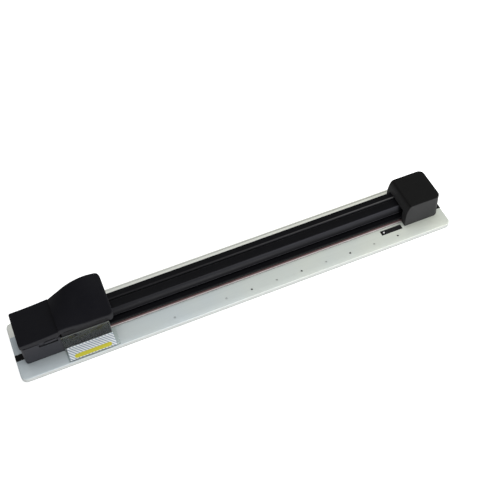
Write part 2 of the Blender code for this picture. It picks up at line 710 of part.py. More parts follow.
def make_feet(material):
    xs = (-BASE_LENGTH / 2 + FOOT_INSET_X, 0.0, BASE_LENGTH / 2 - FOOT_INSET_X)
    ys = (-BASE_DEPTH / 2 + FOOT_INSET_Y, BASE_DEPTH / 2 - FOOT_INSET_Y)
    for number, (x, y) in enumerate(((x, y) for x in xs for y in ys), 1):
        foot = bmesh.new()
        add_post(foot, x, y, ((FOOT_RADIUS - FOOT_EDGE, 0.0), (FOOT_RADIUS, FOOT_EDGE),
                              (FOOT_RADIUS, FOOT_HEIGHT)), ROUND_STEPS)
        finish(f"foot_{number}", foot, material, smooth=True)


def make_cutting_mat(mat_material, line_material):
    half_length = BASE_LENGTH / 2
    mat = bmesh.new()
    add_box(mat, (-half_length, half_length), (MAT_FRONT_Y, MAT_BACK_Y),
            (BASE_TOP - MAT_THICKNESS, BASE_TOP))
    mat = finish("cutting_mat", mat, mat_material)
    line_span = (SEAM_X, CAP_LEFT_X + SHELL_WALL)
    line_front = MAT_FRONT_Y + LINE_INSET
    rebate = bmesh.new()
    add_box(rebate, (line_span[0] - SEAT_GAP, line_span[1] + SEAT_GAP),
            (line_front - SEAT_GAP, line_front + LINE_WIDTH + SEAT_GAP),
            (BASE_TOP - LINE_THICKNESS - SEAT_GAP, BASE_TOP + CUT_OVERRUN))
    cut(mat, "line_rebate_cutter", rebate)
    line = bmesh.new()
    add_box(line, line_span, (line_front, line_front + LINE_WIDTH),
            (BASE_TOP - LINE_THICKNESS, BASE_TOP))
    finish("cut_line_strip", line, line_material)


def make_slot_plate(plate_material, screw_material):
    plate = bmesh.new()
    span, depth = slot_plate_span(0.0), slot_plate_depth(0.0)
    add_box(plate, span, depth, (BASE_TOP - SLOT_PLATE_THICKNESS, BASE_TOP))
    plate = finish("slot_plate", plate, plate_material)
    screw_x = span[0] + SLOT_SCREW_INSET
    dish = bmesh.new()
    add_box(dish, (span[0] + SLOT_PLATE_RIM, span[1] - SLOT_PLATE_RIM),
            (depth[0] + SLOT_PLATE_RIM, depth[1] - SLOT_PLATE_RIM),
            (BASE_TOP - SLOT_PLATE_DISH, BASE_TOP + CUT_OVERRUN))
    cut(plate, "slot_dish_cutter", dish)
    stud = bmesh.new()
    low = BASE_TOP - SLOT_PLATE_DISH + SEAT_GAP
    add_post(stud, screw_x, SLOT_PLATE_CENTRE_Y,
             ((SLOT_SCREW_RADIUS, low), (SLOT_SCREW_RADIUS, low + SLOT_SCREW_HEIGHT / 2),
              (SLOT_SCREW_RADIUS * SLOT_SCREW_CROWN_SHARE, low + SLOT_SCREW_HEIGHT)), SMALL_STEPS)
    finish("slot_plate_stud", stud, screw_material, smooth=True)


def rail_outline():
    """Cross-section of the rail, as (y, z) points, from its front lip round under it."""
    top, deck = above_base(RAIL_TOP), above_base(RAIL_TOP - RAIL_FRONT_DECK_DROP)
    pocket, underside = above_base(RAIL_POCKET_HEIGHT), above_base(RAIL_UNDERSIDE)
    lip = above_base(RAIL_LIP_HEIGHT)
    groove_floor = top - RAIL_GROOVE_DEPTH
    outline = [(RAIL_LIP_Y, lip), (RAIL_LIP_Y + RAIL_POCKET_CHAMFER, pocket),
               (RAIL_POCKET_BACK_Y, pocket), (RAIL_POCKET_BACK_Y, underside),
               (RAIL_BACK_Y, underside)]
    outline += arc(RAIL_BACK_Y - RAIL_EDGE_RADIUS, top - RAIL_EDGE_RADIUS, RAIL_EDGE_RADIUS,
                   0.0, 0.25)
    outline += arc(RAIL_GROOVE_BACK_Y + RAIL_RIDGE_WIDTH, top - RAIL_RIDGE_WIDTH,
                   RAIL_RIDGE_WIDTH, 0.25, 0.5)
    outline += [(RAIL_GROOVE_BACK_Y, groove_floor),
                (RAIL_GROOVE_BACK_Y - RAIL_GROOVE_WIDTH, groove_floor),
                (RAIL_GROOVE_BACK_Y - RAIL_GROOVE_WIDTH, deck)]
    outline += arc(RAIL_FRONT_DECK_Y, deck - RAIL_BROW_RADIUS, RAIL_BROW_RADIUS, 0.25, 0.45)
    brow_y, brow_z = outline[-1]
    lip_top = lip + RAIL_LIP_THICKNESS
    for step in range(1, CORNER_STEPS + 1):
        share = step / CORNER_STEPS
        sag = RAIL_COVE_SAG * math.sin(math.pi * share)
        outline.append((brow_y + (RAIL_LIP_Y - brow_y) * share + sag,
                        brow_z + (lip_top - brow_z) * share - sag))
    return outline


def make_rail(rail_material, foot_material):
    rail = bmesh.new()
    add_bar(rail, rail_outline(), RAIL_LEFT_X, RAIL_RIGHT_X)
    rail = finish("guide_rail", rail, rail_material, smooth=True)
    threads = bmesh.new()
    for name, (x, y) in screw_positions().items():
        if name.startswith("rail"):
            add_post(threads, x, y,
                     ((SCREW_SHANK_RADIUS + SEAT_GAP, above_base(0.0)),
                      (SCREW_SHANK_RADIUS + SEAT_GAP, RAIL_SCREW_TIP + SEAT_GAP)), SMALL_STEPS)
    cut(rail, "rail_thread_cutter", threads)
    for side, span in RAIL_FOOT_SPANS.items():
        slab = bmesh.new()
        add_box(slab, span, (RAIL_FOOT_FRONT_Y, RAIL_FOOT_BACK_Y),
                (BASE_TOP + SEAT_GAP, above_base(RAIL_UNDERSIDE) - SEAT_GAP))
        slab = finish(f"rail_foot_{side}", slab, foot_material)
        holes = bmesh.new()
        for name, (x, y) in screw_positions().items():
            if name.startswith(f"rail_screw_{side}"):
                add_post(holes, x, y, ((SCREW_SHANK_RADIUS + SEAT_GAP, BASE_TOP),
                                       (SCREW_SHANK_RADIUS + SEAT_GAP, above_base(RAIL_UNDERSIDE))),
                         SMALL_STEPS)
        cut(slab, f"rail_foot_{side}_cutter", holes)


def make_base_screws(material):
    """Socket screws whose heads sit in the channels under the base."""
    for name, (x, y) in screw_positions().items():
        tip = RAIL_SCREW_TIP if name.startswith("rail") else SHELL_SCREW_TIP
        head_top = SCREW_HEAD_BOTTOM + SCREW_HEAD_HEIGHT
        screw = bmesh.new()
        add_post(screw, x, y,
                 ((SCREW_SOCKET_RADIUS / 2, SCREW_HEAD_BOTTOM + SCREW_SOCKET_DEPTH),
                  (SCREW_SOCKET_RADIUS, SCREW_HEAD_BOTTOM + SCREW_SOCKET_DEPTH * SCREW_SOCKET_WALL_SHARE),
                  (SCREW_SOCKET_RADIUS, SCREW_HEAD_BOTTOM),
                  (SCREW_HEAD_RADIUS, SCREW_HEAD_BOTTOM), (SCREW_HEAD_RADIUS, head_top),
                  (SCREW_SHANK_RADIUS, head_top),
                  (SCREW_SHANK_RADIUS, tip - SCREW_SHANK_RADIUS / 2),
                  (SCREW_SHANK_RADIUS / 2, tip)), SMALL_STEPS)
        finish(name, screw, material, smooth=True)


def add_shell_fittings(shell, side):
    """Bosses for the shell's two screws, their threads, and the window for the rail."""
    left, right = SHELL_SPANS[side]
    places = [place for name, place in screw_positions().items()
              if name.startswith(f"shell_screw_{side}")]
    bosses = bmesh.new()
    threads = bmesh.new()
    for x, y in places:
        add_post(bosses, x, y, ((BOSS_RADIUS, SHELL_BOTTOM),
                                (BOSS_RADIUS, SHELL_BOTTOM + BOSS_HEIGHT)), SMALL_STEPS)
        add_post(threads, x, y, ((SCREW_SHANK_RADIUS + SEAT_GAP, SHELL_BOTTOM - CUT_OVERRUN),
                                 (SCREW_SHANK_RADIUS + SEAT_GAP, SHELL_SCREW_TIP + SEAT_GAP)),
                 SMALL_STEPS)
    left_end_wall = COVER_WALL + SEAT_GAP + SHELL_WALL
    window_span = ((right - left_end_wall - CUT_OVERRUN, right + CUT_OVERRUN) if side == "left"
                   else (left - CUT_OVERRUN, left + CAP_SLOPE_LENGTH))
    add_box(threads, window_span, (WINDOW_FRONT_Y, WINDOW_BACK_Y),
            (SHELL_BOTTOM - CUT_OVERRUN, above_base(WINDOW_HEIGHT)))
    cut(shell, f"{side}_shell_boss_shape", bosses, "UNION")
    cut(shell, f"{side}_shell_thread_cutter", threads)


def left_cover_hood():
    def rise(x):
        share = min(max((x - LEFT_X) / (SEAM_X - LEFT_X), 0.0), 1.0)
        return share ** LEFT_TOP_RISE_POWER

    def front_top(x):
        seam_rise = LEFT_TOP_SEAM_FRONT_RISE - LEFT_TOP_OUTER_RISE
        return HEAD_RIM + LEFT_TOP_OUTER_RISE + seam_rise * rise(x)

    def back_top(x):
        seam_rise = LEFT_TOP_SEAM_BACK_RISE - LEFT_TOP_OUTER_RISE
        return HEAD_RIM + LEFT_TOP_OUTER_RISE + seam_rise * rise(x)

    return Hood((LEFT_X, SEAM_X), (HEAD_FRONT_Y, HEAD_BACK_Y), HEAD_RIM,
                front_top, back_top, 0.0, COVER_EDGE_RADIUS, HEAD_BACK_EDGE_RADIUS,
                (COVER_CORNER_RADIUS, 0.0), (COVER_EDGE_RADIUS, 0.0))


def make_left_end(shell_material, cover_material):
    """Lower shell with a neck that carries the cover, and the cover itself."""
    split = HEAD_RIM - SEAT_GAP
    neck_top = split + LEFT_NECK_HEIGHT
    neck_inset = COVER_WALL + SEAT_GAP
    span = SHELL_SPANS["left"]
    depth = (HEAD_FRONT_Y + LIP_OVERHANG, HEAD_BACK_Y - LIP_OVERHANG)
    radius = END_CORNER_RADIUS - LIP_OVERHANG
    body_outline = rounded_rectangle(span, depth, (radius, SEAT_GAP, SEAT_GAP, radius))
    neck_outline = rounded_rectangle((LEFT_X + neck_inset, SEAM_X - neck_inset),
                                     (HEAD_FRONT_Y + neck_inset, HEAD_BACK_Y - neck_inset),
                                     (END_CORNER_RADIUS - neck_inset, SEAT_GAP, SEAT_GAP,
                                      END_CORNER_RADIUS - neck_inset))
    rings = [[(x, y, SHELL_BOTTOM) for x, y in body_outline],
             [(x, y, split) for x, y in body_outline],
             [(x, y, split) for x, y in neck_outline],
             [(x, y, neck_top) for x, y in neck_outline]]
    shell = finish("left_end_block", rings_solid(rings), shell_material, smooth=True)
    room = bmesh.new()
    inner = rounded_rectangle((LEFT_X + neck_inset + SHELL_WALL, SEAM_X - neck_inset - SHELL_WALL),
                              (depth[0] + SHELL_WALL, HEAD_BACK_Y - neck_inset - SHELL_WALL),
                              (radius - SHELL_WALL, SEAT_GAP, SEAT_GAP, radius - SHELL_WALL))
    add_rings(room, [[(x, y, z) for x, y in inner]
                     for z in (SHELL_BOTTOM - CUT_OVERRUN, split - SHELL_WALL)])
    cut(shell, "left_room_cutter", room)
    recess = bmesh.new()
    recess_right = SEAM_X - RECESS_SEAM_INSET
    recess_top = split - RECESS_TOP_INSET
    add_box(recess, (recess_right - RECESS_LENGTH, recess_right),
            (depth[0] - CUT_OVERRUN, depth[0] + RECESS_DEPTH),
            (recess_top - RECESS_HEIGHT, recess_top))
    cut(shell, "left_recess_cutter", recess)
    add_shell_fittings(shell, "left")

    hood = left_cover_hood()
    cover = finish("left_end_cover", hood.solid(COVER_STEPS), cover_material, smooth=True)
    cut(cover, "left_cover_room_cutter", hood.hollow(COVER_WALL, COVER_STEPS))


def make_right_end(material):
    """One-piece cap: its left shoulder falls in a long quarter-round."""
    def top(x):
        distance = min(max(x - CAP_LEFT_X, 0.0), CAP_SLOPE_LENGTH)
        share = 1.0 - distance / CAP_SLOPE_LENGTH
        return above_base(CAP_HEIGHT) - CAP_SLOPE_HEIGHT * (1.0 - math.sqrt(1.0 - share ** 2))

    def section(x, clearance, bottom):
        inset = clearance + round_off(CAP_RIGHT_X - clearance - x, END_CORNER_RADIUS - clearance)
        drop = clearance + round_off(CAP_RIGHT_X - clearance - x,
                                     max(CAP_EDGE_RADIUS - clearance, 0.0))
        front, back = CAP_FRONT_Y + inset, CAP_BACK_Y - inset
        edge = max(CAP_EDGE_RADIUS - clearance, CAP_EDGE_RADIUS / 2)
        height = top(x - clearance if clearance else x) - drop
        points = [(front, bottom)] + arc(front + edge, height - edge, edge, 0.5, 0.25)
        points += arc(back - edge, height - edge, edge, 0.25, 0.0) + [(back, bottom)]
        return [(x, y, z) for y, z in points]

    def stations(clearance):
        left, right = CAP_LEFT_X + clearance, CAP_RIGHT_X - clearance
        reach = END_CORNER_RADIUS - clearance
        turns = [step / CAP_SLOPE_STEPS * math.pi / 2 for step in range(CAP_SLOPE_STEPS + 1)]
        places = [left + CAP_SLOPE_LENGTH * (1 - math.cos(turn)) for turn in turns]
        places += [right - reach * (1 - math.cos(turn)) for turn in turns[::-1]]
        return places

    shell = finish("right_end_cap", rings_solid([section(x, 0.0, SHELL_BOTTOM)
                                                 for x in stations(0.0)]), material, smooth=True)
    room = rings_solid([section(x, SHELL_WALL, SHELL_BOTTOM - CUT_OVERRUN)
                        for x in stations(SHELL_WALL)])
    cut(shell, "right_room_cutter", room)
    add_shell_fittings(shell, "right")


def make_paper_clamp(parent, steel, rubber, spring_steel):
    """Sprung strip under the rail's front edge, which pins the paper down."""
    low, high = above_base(CLAMP_UNDERSIDE), above_base(CLAMP_TOP)
    outline = [(CLAMP_FRONT_Y, low + CLAMP_EDGE), (CLAMP_FRONT_Y + CLAMP_EDGE, low),
               (CLAMP_BACK_Y, low), (CLAMP_BACK_Y, high),
               (CLAMP_FRONT_Y + CLAMP_EDGE, high), (CLAMP_FRONT_Y, high - CLAMP_EDGE)]
    strip = bmesh.new()
    add_bar(strip, outline, CLAMP_LEFT_X, CLAMP_RIGHT_X)
    strip = finish("clamp_strip", strip, steel, parent)
    holes = bmesh.new()
    pocket_top = low + CLAMP_SPRING_POCKET_DEPTH
    pocket_radius = CLAMP_SPRING_RADIUS + CLAMP_SPRING_WIRE_RADIUS + RUNNING_GAP
    for x in POST_PLACES.values():
        add_post(holes, x, POST_Y,
                 ((pocket_radius, low - CUT_OVERRUN), (pocket_radius, pocket_top),
                  (POST_RADIUS + RUNNING_GAP, pocket_top),
                  (POST_RADIUS + RUNNING_GAP, high + CUT_OVERRUN)), SMALL_STEPS)
    cut(strip, "clamp_hole_cutter", holes)
    grip = bmesh.new()
    grip_front = CLAMP_FRONT_Y + GRIP_FRONT_INSET
    add_box(grip, (CLAMP_LEFT_X + GRIP_END_INSET, CLAMP_RIGHT_X - GRIP_END_INSET),
            (grip_front, grip_front + GRIP_WIDTH), (low - SEAT_GAP - GRIP_THICKNESS, low - SEAT_GAP))
    finish("clamp_grip", grip, rubber, parent)
    for side, x in POST_PLACES.items():
        post = bmesh.new()
        post_low = BASE_TOP - POST_SEAT_DEPTH
        post_high = above_base(RAIL_POCKET_HEIGHT) - SEAT_GAP
        add_post(post, x, POST_Y, ((POST_RADIUS, post_low), (POST_RADIUS, post_high)), SMALL_STEPS)
        finish(f"clamp_post_{side}", post, spring_steel, smooth=True)
        make_helix(f"clamp_spring_{side}", x, POST_Y, BASE_TOP + SEAT_GAP, pocket_top - SEAT_GAP,
                   CLAMP_SPRING_RADIUS, CLAMP_SPRING_WIRE_RADIUS, CLAMP_SPRING_TURNS,
                   spring_steel, parent)


def make_chassis(parent, plastic):
    """Lower body of the head: it straddles the rail and holds the blade bay open."""
    low, high = above_base(CHASSIS_BOTTOM), HEAD_RIM - CHASSIS_NECK_DROP
    hook_low = above_base(CHASSIS_BOTTOM) - RUNNING_GAP
    shoulder = HEAD_RIM - PRESS_TRAVEL - RUNNING_GAP
    radii = (SEAT_GAP, CHASSIS_CORNER_RADIUS, CHASSIS_CORNER_RADIUS, SEAT_GAP)
    skirt = rounded_rectangle((HEAD_LEFT_X, HEAD_RIGHT_X - LIP_OVERHANG),
                              (CHASSIS_FRONT_Y, HEAD_BACK_Y - LIP_OVERHANG), radii)
    neck_radius = HEAD_RIGHT_CORNER_RADIUS - HEAD_WALL
    neck = rounded_rectangle((CHASSIS_LEFT_X, CHASSIS_RIGHT_X),
                             (CHASSIS_FRONT_Y + SEAT_GAP, CHASSIS_BACK_Y),
                             (SEAT_GAP, neck_radius, neck_radius, SEAT_GAP))
    rings = [[(x, y, low) for x, y in skirt], [(x, y, shoulder) for x, y in skirt],
             [(x, y, shoulder) for x, y in neck], [(x, y, high) for x, y in neck]]
    chassis = finish("head_chassis", rings_solid(rings), plastic, parent, smooth=True)
    tunnel = bmesh.new()
    tunnel_back = RAIL_BACK_Y + TUNNEL_BACK_GAP
    hook_top = above_base(RAIL_UNDERSIDE) - RUNNING_GAP
    ceiling = above_base(CHASSIS_DECK_UNDERSIDE)
    step_height = above_base(TUNNEL_STRIP_HEIGHT)
    below = hook_low - CUT_OVERRUN
    hook_front = tunnel_back - CHASSIS_HOOK_REACH
    add_bar(tunnel, [(TUNNEL_FRONT_Y, below), (hook_front, below), (hook_front, hook_top),
                     (tunnel_back, hook_top), (tunnel_back, ceiling),
                     (BLADE_BAY_BACK_Y, ceiling), (BLADE_BAY_BACK_Y, step_height),
                     (TUNNEL_FRONT_Y, step_height)],
            HEAD_LEFT_X - CUT_OVERRUN, HEAD_RIGHT_X + CUT_OVERRUN)
    cut(chassis, "tunnel_cutter", tunnel)
    bay = bmesh.new()
    add_box(bay, (CHASSIS_LEFT_X + CHASSIS_END_WALL, CHASSIS_RIGHT_X - CHASSIS_END_WALL),
            (BLADE_BAY_FRONT_Y, BLADE_BAY_BACK_Y), (below, high + CUT_OVERRUN))
    cut(chassis, "blade_bay_cutter", bay)
    tray = bmesh.new()
    add_box(tray, (CHASSIS_LEFT_X + CHASSIS_WALL, CHASSIS_RIGHT_X - CHASSIS_WALL),
            (CHASSIS_FRONT_Y + CHASSIS_WALL, CHASSIS_BACK_Y - CHASSIS_WALL),
            (above_base(CHASSIS_DECK_TOP), high + CUT_OVERRUN))
    cut(chassis, "chassis_tray_cutter", tray)
    holes = bmesh.new()
    add_spindle(holes, GUARD_SCREW_X, above_base(GUARD_SCREW_HEIGHT),
                ((GUARD_SCREW_SHANK_RADIUS + SEAT_GAP, CHASSIS_FRONT_Y - CUT_OVERRUN),
                 (GUARD_SCREW_SHANK_RADIUS + SEAT_GAP, BLADE_BAY_FRONT_Y + CUT_OVERRUN)),
                SMALL_STEPS)
    cut(chassis, "guard_thread_cutter", holes)


def make_glide_shoes(parent, plastic):
    """Low-friction shoes on the rail, each with a key that runs in its groove."""
    top = above_base(CHASSIS_DECK_UNDERSIDE) - SEAT_GAP
    rail_top = above_base(RAIL_TOP) + RUNNING_GAP
    deck = rail_top - RAIL_FRONT_DECK_DROP
    key_back = RAIL_GROOVE_BACK_Y - RUNNING_GAP
    key_front = RAIL_GROOVE_BACK_Y - RAIL_GROOVE_WIDTH + RUNNING_GAP
    key_low = rail_top - SHOE_KEY_ENGAGEMENT
    outline = [(SHOE_BACK_Y, top), (SHOE_FRONT_Y, top), (SHOE_FRONT_Y, deck), (key_front, deck),
               (key_front, key_low), (key_back, key_low), (key_back, rail_top),
               (SHOE_BACK_Y, rail_top)]
    starts = {"left": CHASSIS_LEFT_X + SHOE_END_INSET,
              "right": CHASSIS_RIGHT_X - SHOE_END_INSET - SHOE_LENGTH}
    for side, start in starts.items():
        shoe = bmesh.new()
        add_bar(shoe, outline, start, start + SHOE_LENGTH)
        finish(f"glide_shoe_{side}", shoe, plastic, parent)


def make_finger_guard(parent, clear, steel):
    """Clear sheet bent once: upright in front of the chassis, then flat over the base."""
    back = CHASSIS_FRONT_Y - SEAT_GAP
    front = back - GUARD_THICKNESS
    low, high = above_base(GUARD_BOTTOM), HEAD_RIM - PRESS_TRAVEL - GUARD_TOP_CLEARANCE
    flat_top = low + GUARD_THICKNESS
    outer_radius = GUARD_BEND_RADIUS + GUARD_THICKNESS
    outline = [(back, high)]
    outline += arc(back - outer_radius, low + outer_radius, outer_radius, 1.0, 0.75)
    outline += [(GUARD_FRONT_Y, low), (GUARD_FRONT_Y, flat_top)]
    outline += arc(front - GUARD_BEND_RADIUS, flat_top + GUARD_BEND_RADIUS, GUARD_BEND_RADIUS,
                   0.75, 1.0)
    outline += [(front, high)]
    guard = bmesh.new()
    add_bar(guard, outline, HEAD_LEFT_X, GUARD_RIGHT_X)
    guard = finish("finger_guard", guard, clear, parent, smooth=True)
    hole = bmesh.new()
    height = above_base(GUARD_SCREW_HEIGHT)
    add_spindle(hole, GUARD_SCREW_X, height,
                ((GUARD_SCREW_SHANK_RADIUS + SEAT_GAP, front - CUT_OVERRUN),
                 (GUARD_SCREW_SHANK_RADIUS + SEAT_GAP, back + CUT_OVERRUN)), SMALL_STEPS)
    cut(guard, "guard_hole_cutter", hole)
    screw = bmesh.new()
    head_back = front - SEAT_GAP
    head_front = head_back - GUARD_SCREW_HEAD_THICKNESS
    add_spindle(screw, GUARD_SCREW_X, height,
                ((GUARD_SCREW_HEAD_RADIUS * SCREW_CROWN_SHARE, head_front),
                 (GUARD_SCREW_HEAD_RADIUS, head_front + GUARD_SCREW_HEAD_THICKNESS / 2),
                 (GUARD_SCREW_HEAD_RADIUS, head_back), (GUARD_SCREW_SHANK_RADIUS, head_back),
                 (GUARD_SCREW_SHANK_RADIUS, head_back + GUARD_SCREW_LENGTH)), SMALL_STEPS)
    finish("guard_screw", screw, steel, parent, smooth=True)


def head_hood():
    """Palm-shaped top of the head: low by the seam, high at the far end, swelling across."""
    def place(x):
        return min(max((x - HEAD_LEFT_X) / (HEAD_RIGHT_X - HEAD_LEFT_X), 0.0), 1.0)

    def front_top(x):
        rise = smooth_table(HEAD_PLACE_SHARES, HEAD_FRONT_RISE_SHARES, place(x))
        peak_rise = HEAD_PEAK_FRONT_RISE - HEAD_RIGHT_FRONT_RISE
        return HEAD_RIM + HEAD_RIGHT_FRONT_RISE + peak_rise * rise

    def back_top(x):
        rise = smooth_table(HEAD_PLACE_SHARES, HEAD_BACK_RISE_SHARES, place(x))
        peak_rise = HEAD_PEAK_BACK_RISE - HEAD_SEAM_BACK_RISE
        return HEAD_RIM + HEAD_SEAM_BACK_RISE + peak_rise * rise

    return Hood((HEAD_LEFT_X, HEAD_RIGHT_X), (HEAD_FRONT_Y, HEAD_BACK_Y),
                HEAD_RIM, front_top, back_top, HEAD_CROWN,
                HEAD_FRONT_EDGE_RADIUS, HEAD_BACK_EDGE_RADIUS,
                (HEAD_SEAM_CORNER_RADIUS, HEAD_RIGHT_CORNER_RADIUS), (0.0, HEAD_RIGHT_EDGE_RADIUS))


def make_head_cover(parent, plastic):
    hood = head_hood()
    cover = finish("head_cover", hood.solid(HEAD_STEPS), plastic, parent, smooth=True)
    room = cut(cover, "head_room_cutter", hood.hollow(HEAD_WALL, HEAD_STEPS))
    bosses = bmesh.new()
    bores = bmesh.new()
    carrier_seat = CARRIER_FLANGE_HIGH + SEAT_GAP
    posts = [(x, PRESS_POST_Y, PRESS_BOSS_RADIUS, PRESS_BOSS_BOTTOM,
              PRESS_POST_RADIUS + RUNNING_GAP,
              PRESS_POST_TOP + PRESS_TRAVEL + PRESS_BORE_SPARE)
             for x in PRESS_POST_PLACES.values()]
    posts += [(x, CARRIER_SCREW_Y, CARRIER_BOSS_RADIUS, carrier_seat,
               CARRIER_SCREW_SHANK_RADIUS + SEAT_GAP,
               carrier_seat + CARRIER_SCREW_GRIP + SEAT_GAP)
              for x in CARRIER_SCREW_PLACES.values()]
    for x, y, radius, low, bore_radius, bore_top in posts:
        add_post(bosses, x, y, ((radius, low), (radius, HEAD_RIM + HEAD_PEAK_BACK_RISE)),
                 SMALL_STEPS)
        add_post(bores, x, y, ((bore_radius, low - CUT_OVERRUN), (bore_radius, bore_top)),
                 SMALL_STEPS)
    cut(room, "head_boss_shape", bosses)
    cut(cover, "head_bore_cutter", bores)


def make_press_gear(chassis_parent, handle_parent, steel, spring_steel):
    """Posts on the chassis that the handle slides on, with the springs that lift it."""
    deck = above_base(CHASSIS_DECK_TOP) + SEAT_GAP
    for side, x in PRESS_POST_PLACES.items():
        post = bmesh.new()
        tip_start = PRESS_POST_TOP - (PRESS_POST_RADIUS - PRESS_POST_TIP_RADIUS)
        add_post(post, x, PRESS_POST_Y,
                 ((PRESS_POST_RADIUS, deck), (PRESS_POST_RADIUS, tip_start),
                  (PRESS_POST_TIP_RADIUS, PRESS_POST_TOP)), SMALL_STEPS)
        finish(f"press_post_{side}", post, steel, chassis_parent, smooth=True)
        make_helix(f"press_spring_{side}", x, PRESS_POST_Y, deck,
                   PRESS_BOSS_BOTTOM - SEAT_GAP, PRESS_SPRING_RADIUS,
                   PRESS_SPRING_WIRE_RADIUS, PRESS_SPRING_TURNS, spring_steel, handle_parent)


def make_blade_carrier(parent, plastic, steel):
    """Bracket under the cover: a flange, a neck for the blade and a bar for the rollers."""
    bar_low, bar_high = above_base(CARRIER_BAR_BOTTOM), above_base(CARRIER_BAR_TOP)
    neck_half, bar_half = CARRIER_NECK_WIDTH / 2, HEAD_LENGTH / 2 - CARRIER_BAR_INSET
    outline = [(BLADE_X - bar_half, bar_low), (BLADE_X + bar_half, bar_low),
               (BLADE_X + bar_half, bar_high), (BLADE_X + neck_half, bar_high),
               (BLADE_X + neck_half, CARRIER_FLANGE_HIGH), (BLADE_X - neck_half, CARRIER_FLANGE_HIGH),
               (BLADE_X - neck_half, bar_high), (BLADE_X - bar_half, bar_high)]
    plate = bmesh.new()
    add_plank(plate, outline, CARRIER_FRONT_Y, CARRIER_BACK_Y)
    carrier = finish("blade_carrier", plate, plastic, parent)
    flange = bmesh.new()
    add_box(flange, (BLADE_X - neck_half, BLADE_X + neck_half),
            (CARRIER_BACK_Y - CARRIER_THICKNESS / 2, CARRIER_FLANGE_BACK_Y),
            (CARRIER_FLANGE_LOW, CARRIER_FLANGE_HIGH))
    cut(carrier, "carrier_flange_shape", flange, "UNION")
    holes = bmesh.new()
    blade_z, roller_z = above_base(BLADE_HEIGHT), above_base(ROLLER_HEIGHT)
    axles = [(BLADE_X, blade_z, AXLE_RADIUS)]
    axles += [(x, roller_z, ROLLER_AXLE_RADIUS) for x in ROLLER_PLACES.values()]
    for x, z, radius in axles:
        add_spindle(holes, x, z, ((radius + SEAT_GAP, CARRIER_FRONT_Y - CUT_OVERRUN),
                                  (radius + SEAT_GAP, CARRIER_BACK_Y + CUT_OVERRUN)), SMALL_STEPS)
    for x in CARRIER_SCREW_PLACES.values():
        add_post(holes, x, CARRIER_SCREW_Y,
                 ((CARRIER_SCREW_SHANK_RADIUS + SEAT_GAP, CARRIER_FLANGE_LOW - CUT_OVERRUN),
                  (CARRIER_SCREW_SHANK_RADIUS + SEAT_GAP, CARRIER_FLANGE_HIGH + CUT_OVERRUN)),
                 SMALL_STEPS)
    cut(carrier, "carrier_hole_cutter", holes)
    for side, x in CARRIER_SCREW_PLACES.items():
        screw = bmesh.new()
        head_top = CARRIER_FLANGE_LOW - SEAT_GAP
        head_low = head_top - CARRIER_SCREW_HEAD_HEIGHT
        tip = CARRIER_FLANGE_HIGH + SEAT_GAP + CARRIER_SCREW_GRIP
        add_post(screw, x, CARRIER_SCREW_Y,
                 ((CARRIER_SCREW_HEAD_RADIUS * SCREW_CROWN_SHARE, head_low),
                  (CARRIER_SCREW_HEAD_RADIUS, head_low + CARRIER_SCREW_HEAD_HEIGHT / 2),
                  (CARRIER_SCREW_HEAD_RADIUS, head_top), (CARRIER_SCREW_SHANK_RADIUS, head_top),
                  (CARRIER_SCREW_SHANK_RADIUS, tip)), SMALL_STEPS)
        finish(f"carrier_screw_{side}", screw, steel, parent, smooth=True)


def make_blade_axle(parent, steel):
    """Pin that the blade's bush turns on, with a clip behind the hub."""
    z = above_base(BLADE_HEIGHT)
    head_back = CARRIER_FRONT_Y - SEAT_GAP
    clip_front = HUB_BACK_Y + RUNNING_GAP
    clip_back = clip_front + CLIP_THICKNESS
    pin = bmesh.new()
    add_spindle(pin, BLADE_X, z,
                ((AXLE_HEAD_RADIUS * SCREW_CROWN_SHARE, head_back - AXLE_HEAD_THICKNESS),
                 (AXLE_HEAD_RADIUS, head_back - AXLE_HEAD_THICKNESS / 2),
                 (AXLE_HEAD_RADIUS, head_back), (AXLE_RADIUS, head_back),
                 (AXLE_RADIUS, clip_back + AXLE_TAIL)), ROUND_STEPS)
    finish("blade_axle", pin, steel, parent, smooth=True)
    clip = bmesh.new()
    bore = AXLE_RADIUS + SEAT_GAP
    add_collar(clip, BLADE_X, z, ((bore, clip_front), (CLIP_RADIUS, clip_front),
                                  (CLIP_RADIUS, clip_back), (bore, clip_back)), ROUND_STEPS)
    finish("axle_clip", clip, steel, parent, smooth=True)


